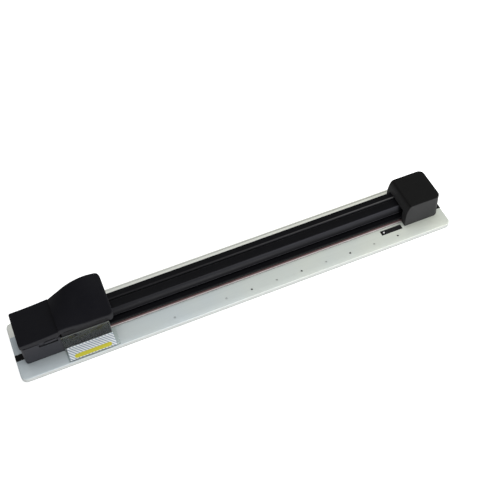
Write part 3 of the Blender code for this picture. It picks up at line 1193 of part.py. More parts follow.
def make_blade(parent, steel, plastic, bronze):
    """Round blade clamped between a hub and its cap, turning on a bush."""
    z = above_base(BLADE_HEIGHT)
    grind_radius = BLADE_RADIUS - BLADE_GRIND
    bore = HUB_SPIGOT_RADIUS + SEAT_GAP
    edge_half = BLADE_EDGE_THICKNESS / 2
    blade = bmesh.new()
    add_collar(blade, BLADE_X, z,
               ((bore, BLADE_FACE_Y), (grind_radius, BLADE_FACE_Y),
                (BLADE_RADIUS, BLADE_CENTRE_Y - edge_half),
                (BLADE_RADIUS, BLADE_CENTRE_Y + edge_half),
                (grind_radius, BLADE_BACK_Y), (bore, BLADE_BACK_Y)), FINE_STEPS)
    finish("cutter_blade", blade, steel, parent, smooth=True)
    flange_back = HUB_FLANGE_FRONT_Y + HUB_FLANGE_THICKNESS
    hub = bmesh.new()
    add_collar(hub, BLADE_X, z,
               ((HUB_BORE_RADIUS, HUB_CAP_FRONT_Y), (HUB_SPIGOT_RADIUS, HUB_CAP_FRONT_Y),
                (HUB_SPIGOT_RADIUS, HUB_FLANGE_FRONT_Y), (HUB_FLANGE_RADIUS, HUB_FLANGE_FRONT_Y),
                (HUB_FLANGE_RADIUS, flange_back), (HUB_SPIGOT_RADIUS, flange_back),
                (HUB_SPIGOT_RADIUS, HUB_BACK_Y), (HUB_BORE_RADIUS, HUB_BACK_Y)), ROUND_STEPS)
    finish("blade_hub", hub, plastic, parent, smooth=True)
    cap_back = BLADE_FACE_Y - SEAT_GAP
    cap = bmesh.new()
    add_collar(cap, BLADE_X, z,
               ((bore, HUB_CAP_FRONT_Y), (HUB_FLANGE_RADIUS * HUB_CAP_FACE_SHARE, HUB_CAP_FRONT_Y),
                (HUB_FLANGE_RADIUS, HUB_CAP_FRONT_Y + HUB_CAP_THICKNESS / 2),
                (HUB_FLANGE_RADIUS, cap_back), (bore, cap_back)), ROUND_STEPS)
    finish("hub_cap", cap, plastic, parent, smooth=True)
    bush = bmesh.new()
    add_collar(bush, BLADE_X, z,
               ((BUSH_BORE_RADIUS, HUB_CAP_FRONT_Y), (BUSH_RADIUS, HUB_CAP_FRONT_Y),
                (BUSH_RADIUS, HUB_BACK_Y), (BUSH_BORE_RADIUS, HUB_BACK_Y)), ROUND_STEPS)
    finish("blade_bush", bush, bronze, parent, smooth=True)


def make_press_rollers(roller_parents, handle_parent, plastic, steel):
    """Rollers that ride on the clamp strip, each on a shouldered pin in the carrier."""
    z = above_base(ROLLER_HEIGHT)
    roller_front = ROLLER_BACK_Y - ROLLER_WIDTH
    bore = ROLLER_AXLE_RADIUS + RUNNING_GAP
    head_back = CARRIER_FRONT_Y - SEAT_GAP
    for side, x in ROLLER_PLACES.items():
        roller = bmesh.new()
        add_collar(roller, x, z,
                   ((bore, roller_front), (ROLLER_RADIUS - ROLLER_EDGE, roller_front),
                    (ROLLER_RADIUS, roller_front + ROLLER_EDGE),
                    (ROLLER_RADIUS, ROLLER_BACK_Y - ROLLER_EDGE),
                    (ROLLER_RADIUS - ROLLER_EDGE, ROLLER_BACK_Y), (bore, ROLLER_BACK_Y)), ROUND_STEPS)
        finish(f"press_roller_{side}", roller, plastic, roller_parents[side], smooth=True)
        pin = bmesh.new()
        add_spindle(pin, x, z,
                    ((ROLLER_AXLE_RADIUS, CARRIER_FRONT_Y - AXLE_HEAD_THICKNESS),
                     (ROLLER_AXLE_RADIUS, CARRIER_BACK_Y + SEAT_GAP),
                     (ROLLER_SHOULDER_RADIUS, CARRIER_BACK_Y + SEAT_GAP),
                     (ROLLER_SHOULDER_RADIUS, roller_front - RUNNING_GAP),
                     (ROLLER_AXLE_RADIUS, roller_front - RUNNING_GAP),
                     (ROLLER_AXLE_RADIUS, ROLLER_BACK_Y + AXLE_TAIL)), SMALL_STEPS)
        finish(f"roller_axle_{side}", pin, steel, handle_parent, smooth=True)


def main():
    clear_scene()
    pale_metal = make_material("pale_metal", (0.56, 0.58, 0.55), 0.42, 0.35)
    rubber = make_material("black_rubber", (0.02, 0.02, 0.02), 0.8)
    mat_plastic = make_material("mat_plastic", (0.025, 0.02, 0.02), 0.6)
    line_red = make_material("line_red", (0.30, 0.03, 0.04), 0.5)
    anodised = make_material("black_anodised", (0.018, 0.018, 0.02), 0.38, 0.6)
    black_plastic = make_material("black_plastic", (0.014, 0.014, 0.017), 0.5)
    grey_plastic = make_material("dark_grey_plastic", (0.035, 0.035, 0.04), 0.5)
    steel = make_material("bright_steel", (0.55, 0.55, 0.56), 0.3, 1.0)
    spring_steel = make_material("spring_steel", (0.35, 0.35, 0.36), 0.35, 1.0)
    alloy = make_material("mill_alloy", (0.6, 0.6, 0.61), 0.45, 0.9)
    clear = make_material("clear_plastic", (0.85, 0.93, 0.95), 0.08, 0.0, 0.9)
    white_plastic = make_material("white_plastic", (0.75, 0.75, 0.72), 0.45)
    bronze = make_material("bush_bronze", (0.45, 0.30, 0.14), 0.4, 1.0)

    clamp = make_empty("paper_clamp_frame", (0.0, CLAMP_FRONT_Y, above_base(CLAMP_UNDERSIDE)))
    head = make_empty("cutter_head_frame", (BLADE_X, RAIL_SCREW_Y, above_base(RAIL_TOP)))
    handle = make_empty("handle_frame", (BLADE_X, PRESS_POST_Y, HEAD_RIM), head)
    blade = make_empty("blade_frame", (BLADE_X, BLADE_CENTRE_Y, above_base(BLADE_HEIGHT)), handle)
    rollers = {side: make_empty(f"press_roller_{side}_frame",
                                (x, ROLLER_BACK_Y, above_base(ROLLER_HEIGHT)), handle)
               for side, x in ROLLER_PLACES.items()}

    make_base_plate(pale_metal)
    make_feet(rubber)
    make_cutting_mat(mat_plastic, line_red)
    make_slot_plate(black_plastic, steel)
    make_rail(anodised, alloy)
    make_base_screws(steel)
    make_left_end(grey_plastic, black_plastic)
    make_right_end(black_plastic)
    make_paper_clamp(clamp, anodised, rubber, spring_steel)
    make_chassis(head, grey_plastic)
    make_glide_shoes(head, white_plastic)
    make_finger_guard(head, clear, steel)
    make_head_cover(handle, black_plastic)
    make_press_gear(head, handle, steel, spring_steel)
    make_blade_carrier(handle, grey_plastic, steel)
    make_blade_axle(handle, steel)
    make_blade(blade, steel, black_plastic, bronze)
    make_press_rollers(rollers, handle, white_plastic, steel)


main()
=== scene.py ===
"""Rotary paper trimmer, dressed for its picture.

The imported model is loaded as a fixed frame. Finer pieces take the place of the nodes whose
shape or edges show, and every node that stays gets a finish of its own. Everything is in
metres with +Z up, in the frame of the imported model.
"""
import logging
import math
from collections.abc import Callable, Sequence
from dataclasses import dataclass
from enum import Enum

import bpy
from bpy.types import Material, Node, NodeSocket, NodeTree, Object
from mathutils import Matrix, Vector


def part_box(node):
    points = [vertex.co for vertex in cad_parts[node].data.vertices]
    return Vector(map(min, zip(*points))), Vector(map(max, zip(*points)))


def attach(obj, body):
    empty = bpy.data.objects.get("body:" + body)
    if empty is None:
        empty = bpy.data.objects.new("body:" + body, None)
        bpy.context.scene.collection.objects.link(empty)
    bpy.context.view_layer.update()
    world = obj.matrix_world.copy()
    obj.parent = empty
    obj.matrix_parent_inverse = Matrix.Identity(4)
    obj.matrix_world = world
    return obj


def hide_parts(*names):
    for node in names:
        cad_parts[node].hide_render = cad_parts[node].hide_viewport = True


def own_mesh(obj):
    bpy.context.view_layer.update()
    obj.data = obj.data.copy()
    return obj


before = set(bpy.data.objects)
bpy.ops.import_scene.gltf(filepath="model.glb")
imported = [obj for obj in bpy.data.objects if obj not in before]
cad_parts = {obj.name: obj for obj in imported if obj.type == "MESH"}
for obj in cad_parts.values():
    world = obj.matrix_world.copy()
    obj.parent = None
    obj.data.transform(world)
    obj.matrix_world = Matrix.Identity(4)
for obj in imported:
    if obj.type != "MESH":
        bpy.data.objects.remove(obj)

log = logging.getLogger("paper_trimmer")

Span = tuple[float, float]
Place = tuple[float, float, float]
Colour = tuple[float, float, float]
Outline = list[tuple[float, float]]
EdgeTest = Callable[[Vector, Vector], bool]

# Height of the base's top, to which heights in the classes below are given
BASE_TOP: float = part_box("cutting_mat")[1][2]
# Edges flatter than this are shaded smooth
SMOOTH_ANGLE: float = math.radians(32)
# Tolerance of the edge tests, and how near a corner stands to the end that it belongs to
NEAR: float = 1e-6
END_REACH: float = 0.01
# Least share of a face's normal that points up or down where the face counts as level
LEVEL: float = 0.9
# How far a cutter reaches past the surface that it opens, and a welded wall into its neighbour
OVER: float = 0.001
# Screw holes, and where the screws under the base stand
HOLE_RADIUS: float = 0.0019
HOLE_SIDES: int = 24
RAIL_SCREW_X: tuple[float, ...] = (-0.2890, -0.2690, 0.2710, 0.2910)
RAIL_SCREW_Y: float = 0.0130
LEFT_SHELL_SCREW_X: Span = (-0.2972, -0.2640)
RIGHT_SHELL_SCREW_X: Span = (0.2650, 0.3022)
SHELL_SCREW_Y: float = -0.0212
# Window in each end piece through which the rail passes
WINDOW_Y: Span = (-0.0157, 0.0242)
WINDOW_TOP: float = 0.0236
# Pure black, which colours are mixed towards
BLACK: Colour = (0.0, 0.0, 0.0)


class Body(Enum):
    """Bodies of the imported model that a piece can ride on."""

    BASE = "base"
    HEAD = "cutter_head"
    HANDLE = "handle"


class Slot(Enum):
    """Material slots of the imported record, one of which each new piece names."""

    PALE_METAL = "pale_metal"
    RUBBER = "black_rubber"
    ANODISED = "black_anodised"
    BLACK_PLASTIC = "black_plastic"
    GREY_PLASTIC = "dark_grey_plastic"
    WHITE_PLASTIC = "white_plastic"
    CLEAR_PLASTIC = "clear_plastic"
    STEEL = "bright_steel"


class Pick(Enum):
    """What an edit-mode selection is made of."""

    VERTICES = "VERT"
    EDGES = "EDGE"
    FACES = "FACE"


class Axis(Enum):
    """Direction that a turned piece is built along."""

    UPRIGHT = (0.0, 0.0, 0.0)
    DEPTH = (math.pi / 2, 0.0, 0.0)


def above_base(height: float) -> float:
    """Height in the frame of a height over the base's top."""
    return BASE_TOP + height


def scaled(colour: Colour, factor: float) -> Colour:
    """Make a colour lighter or darker by a factor."""
    return tuple(part * factor for part in colour)


# Modelling helpers


def let_go() -> None:
    """Leave edit mode and deselect everything."""
    if bpy.context.object is not None and bpy.context.object.mode != "OBJECT":
        bpy.ops.object.mode_set(mode="OBJECT")
    bpy.ops.object.select_all(action="DESELECT")


def take(piece: Object) -> None:
    """Make one piece the only selected and the active one.

    Args:
        piece: The object to work on.
    """
    let_go()
    piece.select_set(True)
    bpy.context.view_layer.objects.active = piece


def settle(piece: Object) -> Object:
    """Apply a piece's place, turn and size to its mesh.

    Args:
        piece: The object to settle.

    Returns:
        The same object, at the origin.
    """
    take(piece)
    bpy.ops.object.transform_apply(location=True, rotation=True, scale=True)
    return piece


def block(name: str, x: Span, y: Span, z: Span) -> Object:
    """Start a piece from a cube stretched over three spans.

    Args:
        name: Name of the new piece.
        x: Lowest and highest X.
        y: Lowest and highest Y.
        z: Lowest and highest Z.

    Returns:
        The new object.
    """
    let_go()
    centre = tuple((span[0] + span[1]) / 2 for span in (x, y, z))
    bpy.ops.mesh.primitive_cube_add(size=1.0, location=centre)
    piece = bpy.context.object
    piece.name = name
    piece.scale = tuple(span[1] - span[0] for span in (x, y, z))
    return settle(piece)


def rod(name: str, axis: Axis, centre: Sequence[float], radius: float, length: float,
         sides: int) -> Object:
    """Start a piece from a cylinder.

    Args:
        name: Name of the new piece.
        axis: Direction of the cylinder's own axis.
        centre: Middle of the cylinder.
        radius: Radius over its corners.
        length: Length along its axis.
        sides: Number of sides.

    Returns:
        The new object.
    """
    let_go()
    bpy.ops.mesh.primitive_cylinder_add(vertices=sides, radius=radius, depth=length,
                                        location=tuple(centre), rotation=axis.value)
    piece = bpy.context.object
    piece.name = name
    return settle(piece)


def bar(name: str, outline: Outline, x: Span) -> Object:
    """Draw a cross-section as one face and extrude it along X.

    Args:
        name: Name of the new piece.
        outline: Points (y, z) round the section.
        x: Where the bar starts and ends.

    Returns:
        The new object, a closed solid.
    """
    let_go()
    bpy.ops.mesh.primitive_circle_add(vertices=len(outline), radius=1.0, fill_type="NGON")
    piece = bpy.context.object
    piece.name = name
    for corner, (y, z) in zip(piece.data.vertices, outline):
        corner.co = (x[0], y, z)
    bpy.ops.object.mode_set(mode="EDIT")
    bpy.ops.mesh.select_all(action="SELECT")
    extrude(x[1] - x[0], 0.0, 0.0)
    bpy.ops.mesh.select_all(action="SELECT")
    bpy.ops.mesh.normals_make_consistent(inside=False)
    let_go()
    return piece


def loft(name: str, rows: Sequence[Sequence[Place]]) -> Object:
    """Lay a grid over a row of open sections and close both of its ends.

    Args:
        name: Name of the new piece.
        rows: Sections from one end to the other, each with the same number of points.

    Returns:
        The new object, a skin that is open only between the sections' own ends.
    """
    let_go()
    count = len(rows[0])
    bpy.ops.mesh.primitive_grid_add(x_subdivisions=count - 1, y_subdivisions=len(rows) - 1)
    piece = bpy.context.object
    piece.name = name
    points = [point for row in rows for point in row]
    for corner, point in zip(piece.data.vertices, points):
        corner.co = point
    for x in (rows[0][0][0], rows[-1][0][0]):
        pick(piece, Pick.VERTICES, lambda co, _, x=x: abs(co.x - x) < NEAR / 10)
        bpy.ops.mesh.edge_face_add()
    bpy.ops.mesh.select_all(action="SELECT")
    bpy.ops.mesh.normals_make_consistent(inside=False)
    let_go()
    highest = max(piece.data.polygons, key=lambda face: face.center.z)
    if highest.normal.z < 0.0:
        pick(piece, Pick.FACES, lambda *_: True)
        bpy.ops.mesh.flip_normals()
        let_go()
    return piece


def pick(piece: Object, kind: Pick, test: EdgeTest) -> int:
    """Go into edit mode with the parts of a piece selected that pass a test.

    Args:
        piece: The object to edit.
        kind: Vertices, edges or faces.
        test: Gets a vertex's place and normal, an edge's two ends, or a face's centre and normal.

    Returns:
        How many were selected.
    """
    take(piece)
    bpy.ops.object.mode_set(mode="EDIT")
    bpy.ops.mesh.select_mode(type=kind.value)
    bpy.ops.mesh.select_all(action="DESELECT")
    bpy.ops.object.mode_set(mode="OBJECT")
    corners = piece.data.vertices
    if kind is Pick.FACES:
        parts = [(face, face.center, face.normal) for face in piece.data.polygons]
    elif kind is Pick.EDGES:
        parts = [(edge, corners[edge.vertices[0]].co, corners[edge.vertices[1]].co)
                 for edge in piece.data.edges]
    else:
        parts = [(corner, corner.co, corner.normal) for corner in corners]
    for part, first, second in parts:
        part.select = test(first, second)
    chosen = sum(part.select for part, _, _ in parts)
    bpy.ops.object.mode_set(mode="EDIT")
    return chosen


def round_edges(piece: Object, radius: float, segments: int, test: EdgeTest) -> None:
    """Round the edges of a piece that pass a test.

    Args:
        piece: The object to edit.
        radius: Radius of the rounding.
        segments: Faces across the rounding.
        test: Gets an edge's two ends.
    """
    if pick(piece, Pick.EDGES, test):
        bpy.ops.mesh.bevel(offset=radius, segments=segments, affect="EDGES")
    let_go()


def extrude(x: float, y: float, z: float) -> None:
    """Extrude what is selected in edit mode by a move."""
    bpy.ops.mesh.extrude_region_move(TRANSFORM_OT_translate={"value": (x, y, z)})


def upright_edge(a: Vector, b: Vector) -> bool:
    """Tell whether an edge stands upright."""
    return abs(a.x - b.x) < NEAR and abs(a.y - b.y) < NEAR


def upright_near(x: float) -> EdgeTest:
    """Make the test for upright edges by an end that stands at one X."""
    return lambda a, b: upright_edge(a, b) and abs(a.x - x) < END_REACH


def at_or_over(height: float) -> EdgeTest:
    """Make the test for edges that lie at a height or over it."""
    return lambda a, b: min(a.z, b.z) > height - NEAR


def at_or_under(height: float) -> EdgeTest:
    """Make the test for edges that lie at a height or under it."""
    return lambda a, b: max(a.z, b.z) < height + NEAR


def carve(piece: Object, *cutters: Object) -> None:
    """Cut a piece with others, which are used up."""
    combine(piece, "DIFFERENCE", cutters)


def weld(piece: Object, *others: Object) -> None:
    """Join others to a piece as one solid; the others are used up."""
    combine(piece, "UNION", others)


def combine(piece: Object, operation: str, others: Sequence[Object]) -> None:
    """Combine a piece with others by one boolean step each.

    Args:
        piece: The object to change.
        operation: Blender's name for the boolean.
        others: The objects to combine with, which are deleted.
    """
    for other in others:
        take(piece)
        step = piece.modifiers.new(operation.lower(), "BOOLEAN")
        step.operation = operation
        step.solver = "EXACT"
        step.object = other
        bpy.ops.object.modifier_apply(modifier=step.name)
        take(other)
        bpy.ops.object.delete()


def gather(name: str, pieces: Sequence[Object]) -> Object:
    """Join separate pieces into one object without changing their meshes.

    Args:
        name: Name of the joined object.
        pieces: The objects to join.

    Returns:
        The joined object.
    """
    take(pieces[0])
    for piece in pieces[1:]:
        piece.select_set(True)
    bpy.ops.object.join()
    joined = bpy.context.object
    joined.name = name
    return joined


def give_wall(piece: Object, wall: float) -> Object:
    """Turn a skin into a shell whose wall grows inwards.

    Args:
        piece: The skin, with its faces pointing out.
        wall: Thickness of the wall.

    Returns:
        The shell.
    """
    take(piece)
    step = piece.modifiers.new("wall", "SOLIDIFY")
    step.thickness = wall
    step.offset = -1.0
    step.use_even_offset = True
    bpy.ops.object.modifier_apply(modifier=step.name)
    return piece


def soften(piece: Object, radius: float, segments: int, angle: float) -> None:
    """Round every edge of a piece that is sharper than an angle.

    Args:
        piece: The object to round.
        radius: Radius of the rounding.
        segments: Faces across the rounding.
        angle: The sharpest edge that stays as it is.
    """
    take(piece)
    step = piece.modifiers.new("soften", "BEVEL")
    step.width = radius
    step.segments = segments
    step.limit_method = "ANGLE"
    step.angle_limit = angle
    bpy.ops.object.modifier_apply(modifier=step.name)


def copy_to(piece: Object, name: str, shift: Sequence[float]) -> Object:
    """Copy a piece with a mesh of its own and move the copy.

    Args:
        piece: The object to copy.
        name: Name of the copy.
        shift: How far the copy moves.

    Returns:
        The copy, settled.
    """
    take(piece)
    bpy.ops.object.duplicate(linked=False)
    copy = bpy.context.object
    copy.name = name
    copy.location = Vector(shift)
    return settle(copy)


def circle_arc(centre: tuple[float, float], radius: float, start: float, end: float,
               steps: int = 10) -> Outline:
    """Points on a circle from one share of a full turn to another.

    Args:
        centre: Middle of the circle.
        radius: Its radius.
        start: Share of a turn where the arc starts.
        end: Share of a turn where it ends.
        steps: Number of steps between the points.

    Returns:
        The points, both ends included.
    """
    turns = [math.tau * (start + (end - start) * step / steps) for step in range(steps + 1)]
    return [(centre[0] + radius * math.cos(turn), centre[1] + radius * math.sin(turn))
            for turn in turns]


def present(piece: Object, material: Material, body: Body, slot: Slot, *nodes: str) -> None:
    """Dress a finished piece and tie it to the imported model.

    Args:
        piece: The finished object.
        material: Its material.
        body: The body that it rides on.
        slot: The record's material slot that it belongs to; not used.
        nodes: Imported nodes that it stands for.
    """
    take(piece)
    bpy.ops.object.shade_smooth_by_angle(angle=SMOOTH_ANGLE)
    piece.data.materials.clear()
    piece.data.materials.append(material)
    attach(piece, body.value)
    if nodes:
        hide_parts(*nodes)
    let_go()
    log.info("%s: %d faces on %s", piece.name, len(piece.data.polygons), body.value)


def dress_nodes(material: Material, *names: str) -> None:
    """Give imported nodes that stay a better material.

    Args:
        material: The new material.
        names: The nodes.
    """
    for name in names:
        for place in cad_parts[name].material_slots:
            place.material = material
        log.info("%s: dressed in %s", name, material.name)


def let_shorten(joint: str, *names: str) -> None:
    """Give packed springs meshes of their own.

    Args:
        joint: The joint that presses them; not used.
        names: The springs' nodes.
    """
    for name in names:
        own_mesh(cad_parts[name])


# Shader helpers


@dataclass
class Graph:
    """Short names for the node work in one shader tree."""

    tree: NodeTree

    def node(self, kind: str, **settings: object) -> Node:
        """Add a node.

        Args:
            kind: Its type, without the leading ShaderNode.
            settings: Attributes to set on it.

        Returns:
            The new node.
        """
        added = self.tree.nodes.new("ShaderNode" + kind)
        for key, value in settings.items():
            setattr(added, key, value)
        return added

    def feed(self, socket: NodeSocket, value: object) -> None:
        """Link an output to a socket, or set the socket to a plain value.

        Args:
            socket: The input.
            value: An output socket or a value.
        """
        if isinstance(value, NodeSocket):
            self.tree.links.new(value, socket)
        elif value is not None:
            socket.default_value = value

    def fill(self, sockets: bpy.types.NodeInputs, values: dict[str, object]) -> None:
        """Feed several sockets by their names.

        Args:
            sockets: The node's inputs.
            values: A value or an output for each name.
        """
        for name, value in values.items():
            self.feed(sockets[name], value)

    def math(self, operation: str, a: object, b: object = None, clamp: bool = False) -> NodeSocket:
        """Add a Math node.

        Args:
            operation: Its operation.
            a: First value or output.
            b: Second value or output.
            clamp: Whether the result stays between 0 and 1.

        Returns:
            The result.
        """
        added = self.node("Math", operation=operation, use_clamp=clamp)
        self.feed(added.inputs[0], a)
        self.feed(added.inputs[1], b)
        return added.outputs[0]

    def times(self, a: object, b: object) -> NodeSocket:
        """Multiply two values or outputs."""
        return self.math("MULTIPLY", a, b)

    def place(self) -> NodeSocket:
        """Read the piece's own coordinates."""
        return self.node("TexCoord").outputs["Object"]

    def normal(self) -> NodeSocket:
        """Read the surface's normal."""
        return self.node("NewGeometry").outputs["Normal"]

    def split(self, vector: NodeSocket) -> bpy.types.NodeOutputs:
        """Split a vector into its X, Y and Z.

        Args:
            vector: The vector.

        Returns:
            Its parts, by name.
        """
        added = self.node("SeparateXYZ")
        self.feed(added.inputs[0], vector)
        return added.outputs

    def noise(self, vector: NodeSocket, scale: object, detail: float = 3.0,
              roughness: float = 0.55) -> NodeSocket:
        """Add a Noise Texture.

        Args:
            vector: Where it is read.
            scale: Its scale, a value or an output.
            detail: Its detail.
            roughness: Its roughness.

        Returns:
            The factor, round 0.5.
        """
        added = self.node("TexNoise")
        self.fill(added.inputs, {"Vector": vector, "Scale": scale, "Detail": detail,
                                 "Roughness": roughness})
        return added.outputs[0]

    def stretch(self, vector: NodeSocket, scale: Place) -> NodeSocket:
        """Stretch a pattern's coordinates with a Mapping node.

        Args:
            vector: The coordinates.
            scale: Factor along each axis.

        Returns:
            The stretched coordinates.
        """
        added = self.node("Mapping")
        self.fill(added.inputs, {"Vector": vector, "Scale": scale})
        return added.outputs[0]

    def spread(self, value: NodeSocket, low: float, high: float, to_low: float = 0.0,
               to_high: float = 1.0) -> NodeSocket:
        """Map a range of values to another, and clamp it.

        Args:
            value: The value.
            low: Start of its range.
            high: End of its range.
            to_low: What the start becomes.
            to_high: What the end becomes.

        Returns:
            The mapped value.
        """
        added = self.node("MapRange")
        self.feed(added.inputs[0], value)
        for index, number in enumerate((low, high, to_low, to_high), 1):
            added.inputs[index].default_value = number
        return added.outputs[0]

    def blend(self, share: object, first: object, second: object) -> NodeSocket:
        """Mix two colours.

        Args:
            share: How much of the second, a value or an output.
            first: A colour or an output.
            second: A colour or an output.

        Returns:
            The mixed colour.
        """
        added = self.node("Mix", data_type="RGBA")
        self.feed(added.inputs[0], share)
        self.feed(added.inputs[6], rgba(first))
        self.feed(added.inputs[7], rgba(second))
        return added.outputs[2]

    def relief(self, height: NodeSocket, depth: float,
               normal: NodeSocket | None = None) -> NodeSocket:
        """Add a Bump node.

        Args:
            height: The height, from 0 to 1.
            depth: Depth of the relief in metres.
            normal: The normal that it adds to.

        Returns:
            The new normal.
        """
        added = self.node("Bump")
        self.fill(added.inputs, {"Distance": depth, "Height": height, "Normal": normal})
        return added.outputs[0]

    def use(self, group: NodeTree, **values: float) -> bpy.types.NodeOutputs:
        """Place a shared effect.

        Args:
            group: Its node group.
            values: Values for its inputs.

        Returns:
            What it puts out.
        """
        added = self.node("Group")
        added.node_tree = group
        self.fill(added.inputs, values)
        return added.outputs


def rgba(colour: object) -> object:
    """Add the fourth value to a plain colour, and leave an output as it is."""
    return (*colour, 1.0) if isinstance(colour, tuple) and len(colour) == 3 else colour


def new_group(name: str, inputs: dict[str, float], *outputs: str
              ) -> tuple[Graph, bpy.types.NodeOutputs, bpy.types.NodeInputs]:
    """Start a shared effect's node group.

    Args:
        name: Its name.
        inputs: Its value inputs and what they start at.
        outputs: Its outputs: Normal is a vector, any other a value.

    Returns:
        The graph, what it is given and where its results go.
    """
    tree = bpy.data.node_groups.new(name, "ShaderNodeTree")
    for label, start in inputs.items():
        socket = tree.interface.new_socket(name=label, in_out="INPUT",
                                           socket_type="NodeSocketFloat")
        socket.default_value = start
    for label in outputs:
        kind = "NodeSocketVector" if label == "Normal" else "NodeSocketFloat"
        tree.interface.new_socket(name=label, in_out="OUTPUT", socket_type=kind)
    given, result = tree.nodes.new("NodeGroupInput"), tree.nodes.new("NodeGroupOutput")
    return Graph(tree), given.outputs, result.inputs


class Effects:
    """Shared effects: grain, dust, lines, smudges, edge wear, and painted highlight, side light,
    gap and hollow shade.
    """

    def __init__(self) -> None:
        """Build each group once."""
        self.grain = self.build_grain()
        self.edges = self.build_worn_highlit_edges()
        self.dust = self.build_dust()
        self.lines = self.build_lines()
        self.smudge = self.build_smudge()
        self.sides = self.build_side_light()
        self.gap_shade = self.build_gap_shade()
        self.hollow_shade = self.build_hollow_shade()

    def build_grain(self) -> NodeTree:
        """Build the fine pitted texture of a moulded or blasted surface.

        Returns:
            The group, with Height and Fleck outputs.
        """
        graph, given, result = new_group("moulded_grain", {"Scale": 2500.0}, "Height", "Fleck")
        place = graph.place()
        soft = graph.noise(place, given["Scale"], 2.0, 0.6)
        cells = graph.node("TexVoronoi")
        graph.fill(cells.inputs, {"Vector": place, "Scale": graph.times(given["Scale"], 0.7)})
        pits = graph.times(cells.outputs["Distance"], 0.5)
        graph.feed(result["Height"], graph.math("ADD", pits, graph.times(soft, 0.5)))
        graph.feed(result["Fleck"], graph.spread(soft, 0.35, 0.7))
        return graph.tree

    def build_worn_highlit_edges(self) -> NodeTree:
        """Build the mask of worn edges, which also carries a painted highlight, and a normal that
        rounds them.

        Returns:
            The group, with Mask and Normal outputs.
        """
        graph, given, result = new_group("worn_highlit_edges", {"Width": 0.0004, "Breakup": 260.0},
                                         "Mask", "Normal")
        rounded = graph.node("Bevel", samples=6)
        graph.feed(rounded.inputs["Radius"], given["Width"])
        alike = graph.node("VectorMath", operation="DOT_PRODUCT")
        graph.feed(alike.inputs[0], rounded.outputs[0])
        graph.feed(alike.inputs[1], graph.normal())
        turned = graph.math("SUBTRACT", 1.0, alike.outputs["Value"])
        patchy = graph.noise(graph.place(), given["Breakup"], 4.0, 0.65)
        worn = graph.spread(patchy, 0.38, 0.66)
        mask = graph.math("MULTIPLY", graph.spread(turned, 0.01, 0.2), worn, clamp=True)
        graph.feed(result["Mask"], mask)
        graph.feed(result["Normal"], rounded.outputs[0])
        return graph.tree

    def build_dust(self) -> NodeTree:
        """Build the mask of a little dust that lies on what faces up.

        Returns:
            The group, with a Mask output.
        """
        graph, given, result = new_group("settled_dust", {"Amount": 0.1, "Scale": 90.0}, "Mask")
        facing = graph.spread(graph.split(graph.normal())["Z"], 0.3, 1.0)
        cloud = graph.spread(graph.noise(graph.place(), given["Scale"], 5.0, 0.7), 0.42, 0.75)
        amount = graph.times(graph.times(facing, cloud), given["Amount"])
        graph.feed(result["Mask"], amount)
        return graph.tree

    def build_lines(self) -> NodeTree:
        """Build the fine lines that drawing or brushing leaves along X.

        Returns:
            The group, with Height and Mask outputs.
        """
        graph, given, result = new_group("drawn_lines", {"Fineness": 1.0}, "Height", "Mask")
        place = graph.place()
        long = graph.stretch(place, (7.0, 1900.0, 1900.0))
        fine = graph.noise(long, given["Fineness"], 3.0, 0.6)
        broad = graph.noise(graph.stretch(place, (3.0, 320.0, 320.0)), 1.0, 2.0, 0.5)
        graph.feed(result["Height"], fine)
        both = graph.math("ADD", graph.times(fine, 0.6), graph.times(broad, 0.4))
        graph.feed(result["Mask"], graph.spread(both, 0.35, 0.65))
        return graph.tree

    def build_smudge(self) -> NodeTree:
        """Build soft patches that handling leaves in a gloss.

        Returns:
            The group, with a Mask output.
        """
        graph, given, result = new_group("handling_smudges", {"Scale": 28.0}, "Mask")
        patches = graph.noise(graph.place(), given["Scale"], 4.0, 0.6)
        graph.feed(result["Mask"], graph.spread(patches, 0.3, 0.7))
        return graph.tree

    def build_side_light(self) -> NodeTree:
        """Build the mask of upright faces, whose own colour is painted side light, for how the
        light falls on them.

        Returns:
            The group, with a Mask output.
        """
        graph, given, result = new_group("painted_side_light", {"Breakup": 35.0}, "Mask")
        facing = graph.math("ABSOLUTE", graph.split(graph.normal())["Z"])
        upright = graph.spread(facing, 0.25, 0.7, 1.0, 0.0)
        patches = graph.noise(graph.place(), given["Breakup"])
        uneven = graph.spread(patches, 0.3, 0.7, 0.85, 1.0)
        graph.feed(result["Mask"], graph.times(upright, uneven))
        return graph.tree

    def build_gap_shade(self) -> NodeTree:
        """Build the mask of surfaces deep in the gaps between pieces.

        Returns:
            The group, with a Mask output.
        """
        graph, given, result = new_group("gap_shade", {"Reach": 0.003}, "Mask")
        hidden = graph.node("AmbientOcclusion", samples=8)
        graph.feed(hidden.inputs["Distance"], given["Reach"])
        graph.feed(result["Mask"], graph.spread(hidden.outputs["AO"], 0.25, 0.9, 1.0, 0.0))
        return graph.tree

    def build_hollow_shade(self) -> NodeTree:
        """Build the mask of painted shade in holes, grooves and inner corners.

        Returns:
            The group, with a Mask output.
        """
        graph, given, result = new_group("painted_hollow_shade", {"Reach": 0.002, "Scale": 400.0}, "Mask")
        hidden = graph.node("AmbientOcclusion", samples=6, only_local=True)
        graph.feed(hidden.inputs["Distance"], given["Reach"])
        uneven = graph.spread(graph.noise(graph.place(), given["Scale"]), 0.3, 0.7, 0.7, 1.0)
        depth = graph.spread(hidden.outputs["AO"], 0.35, 0.95, 1.0, 0.0)
        graph.feed(result["Mask"], graph.times(depth, uneven))
        return graph.tree


def new_material(name: str) -> tuple[Material, Graph, bpy.types.NodeInputs]:
    """Start a node material.

    Args:
        name: Its name.

    Returns:
        The material, its graph and the inputs of its Principled shader.
    """
    material = bpy.data.materials.new(name)
    material.use_nodes = True
    tree = material.node_tree
    return material, Graph(tree), tree.nodes["Principled BSDF"].inputs


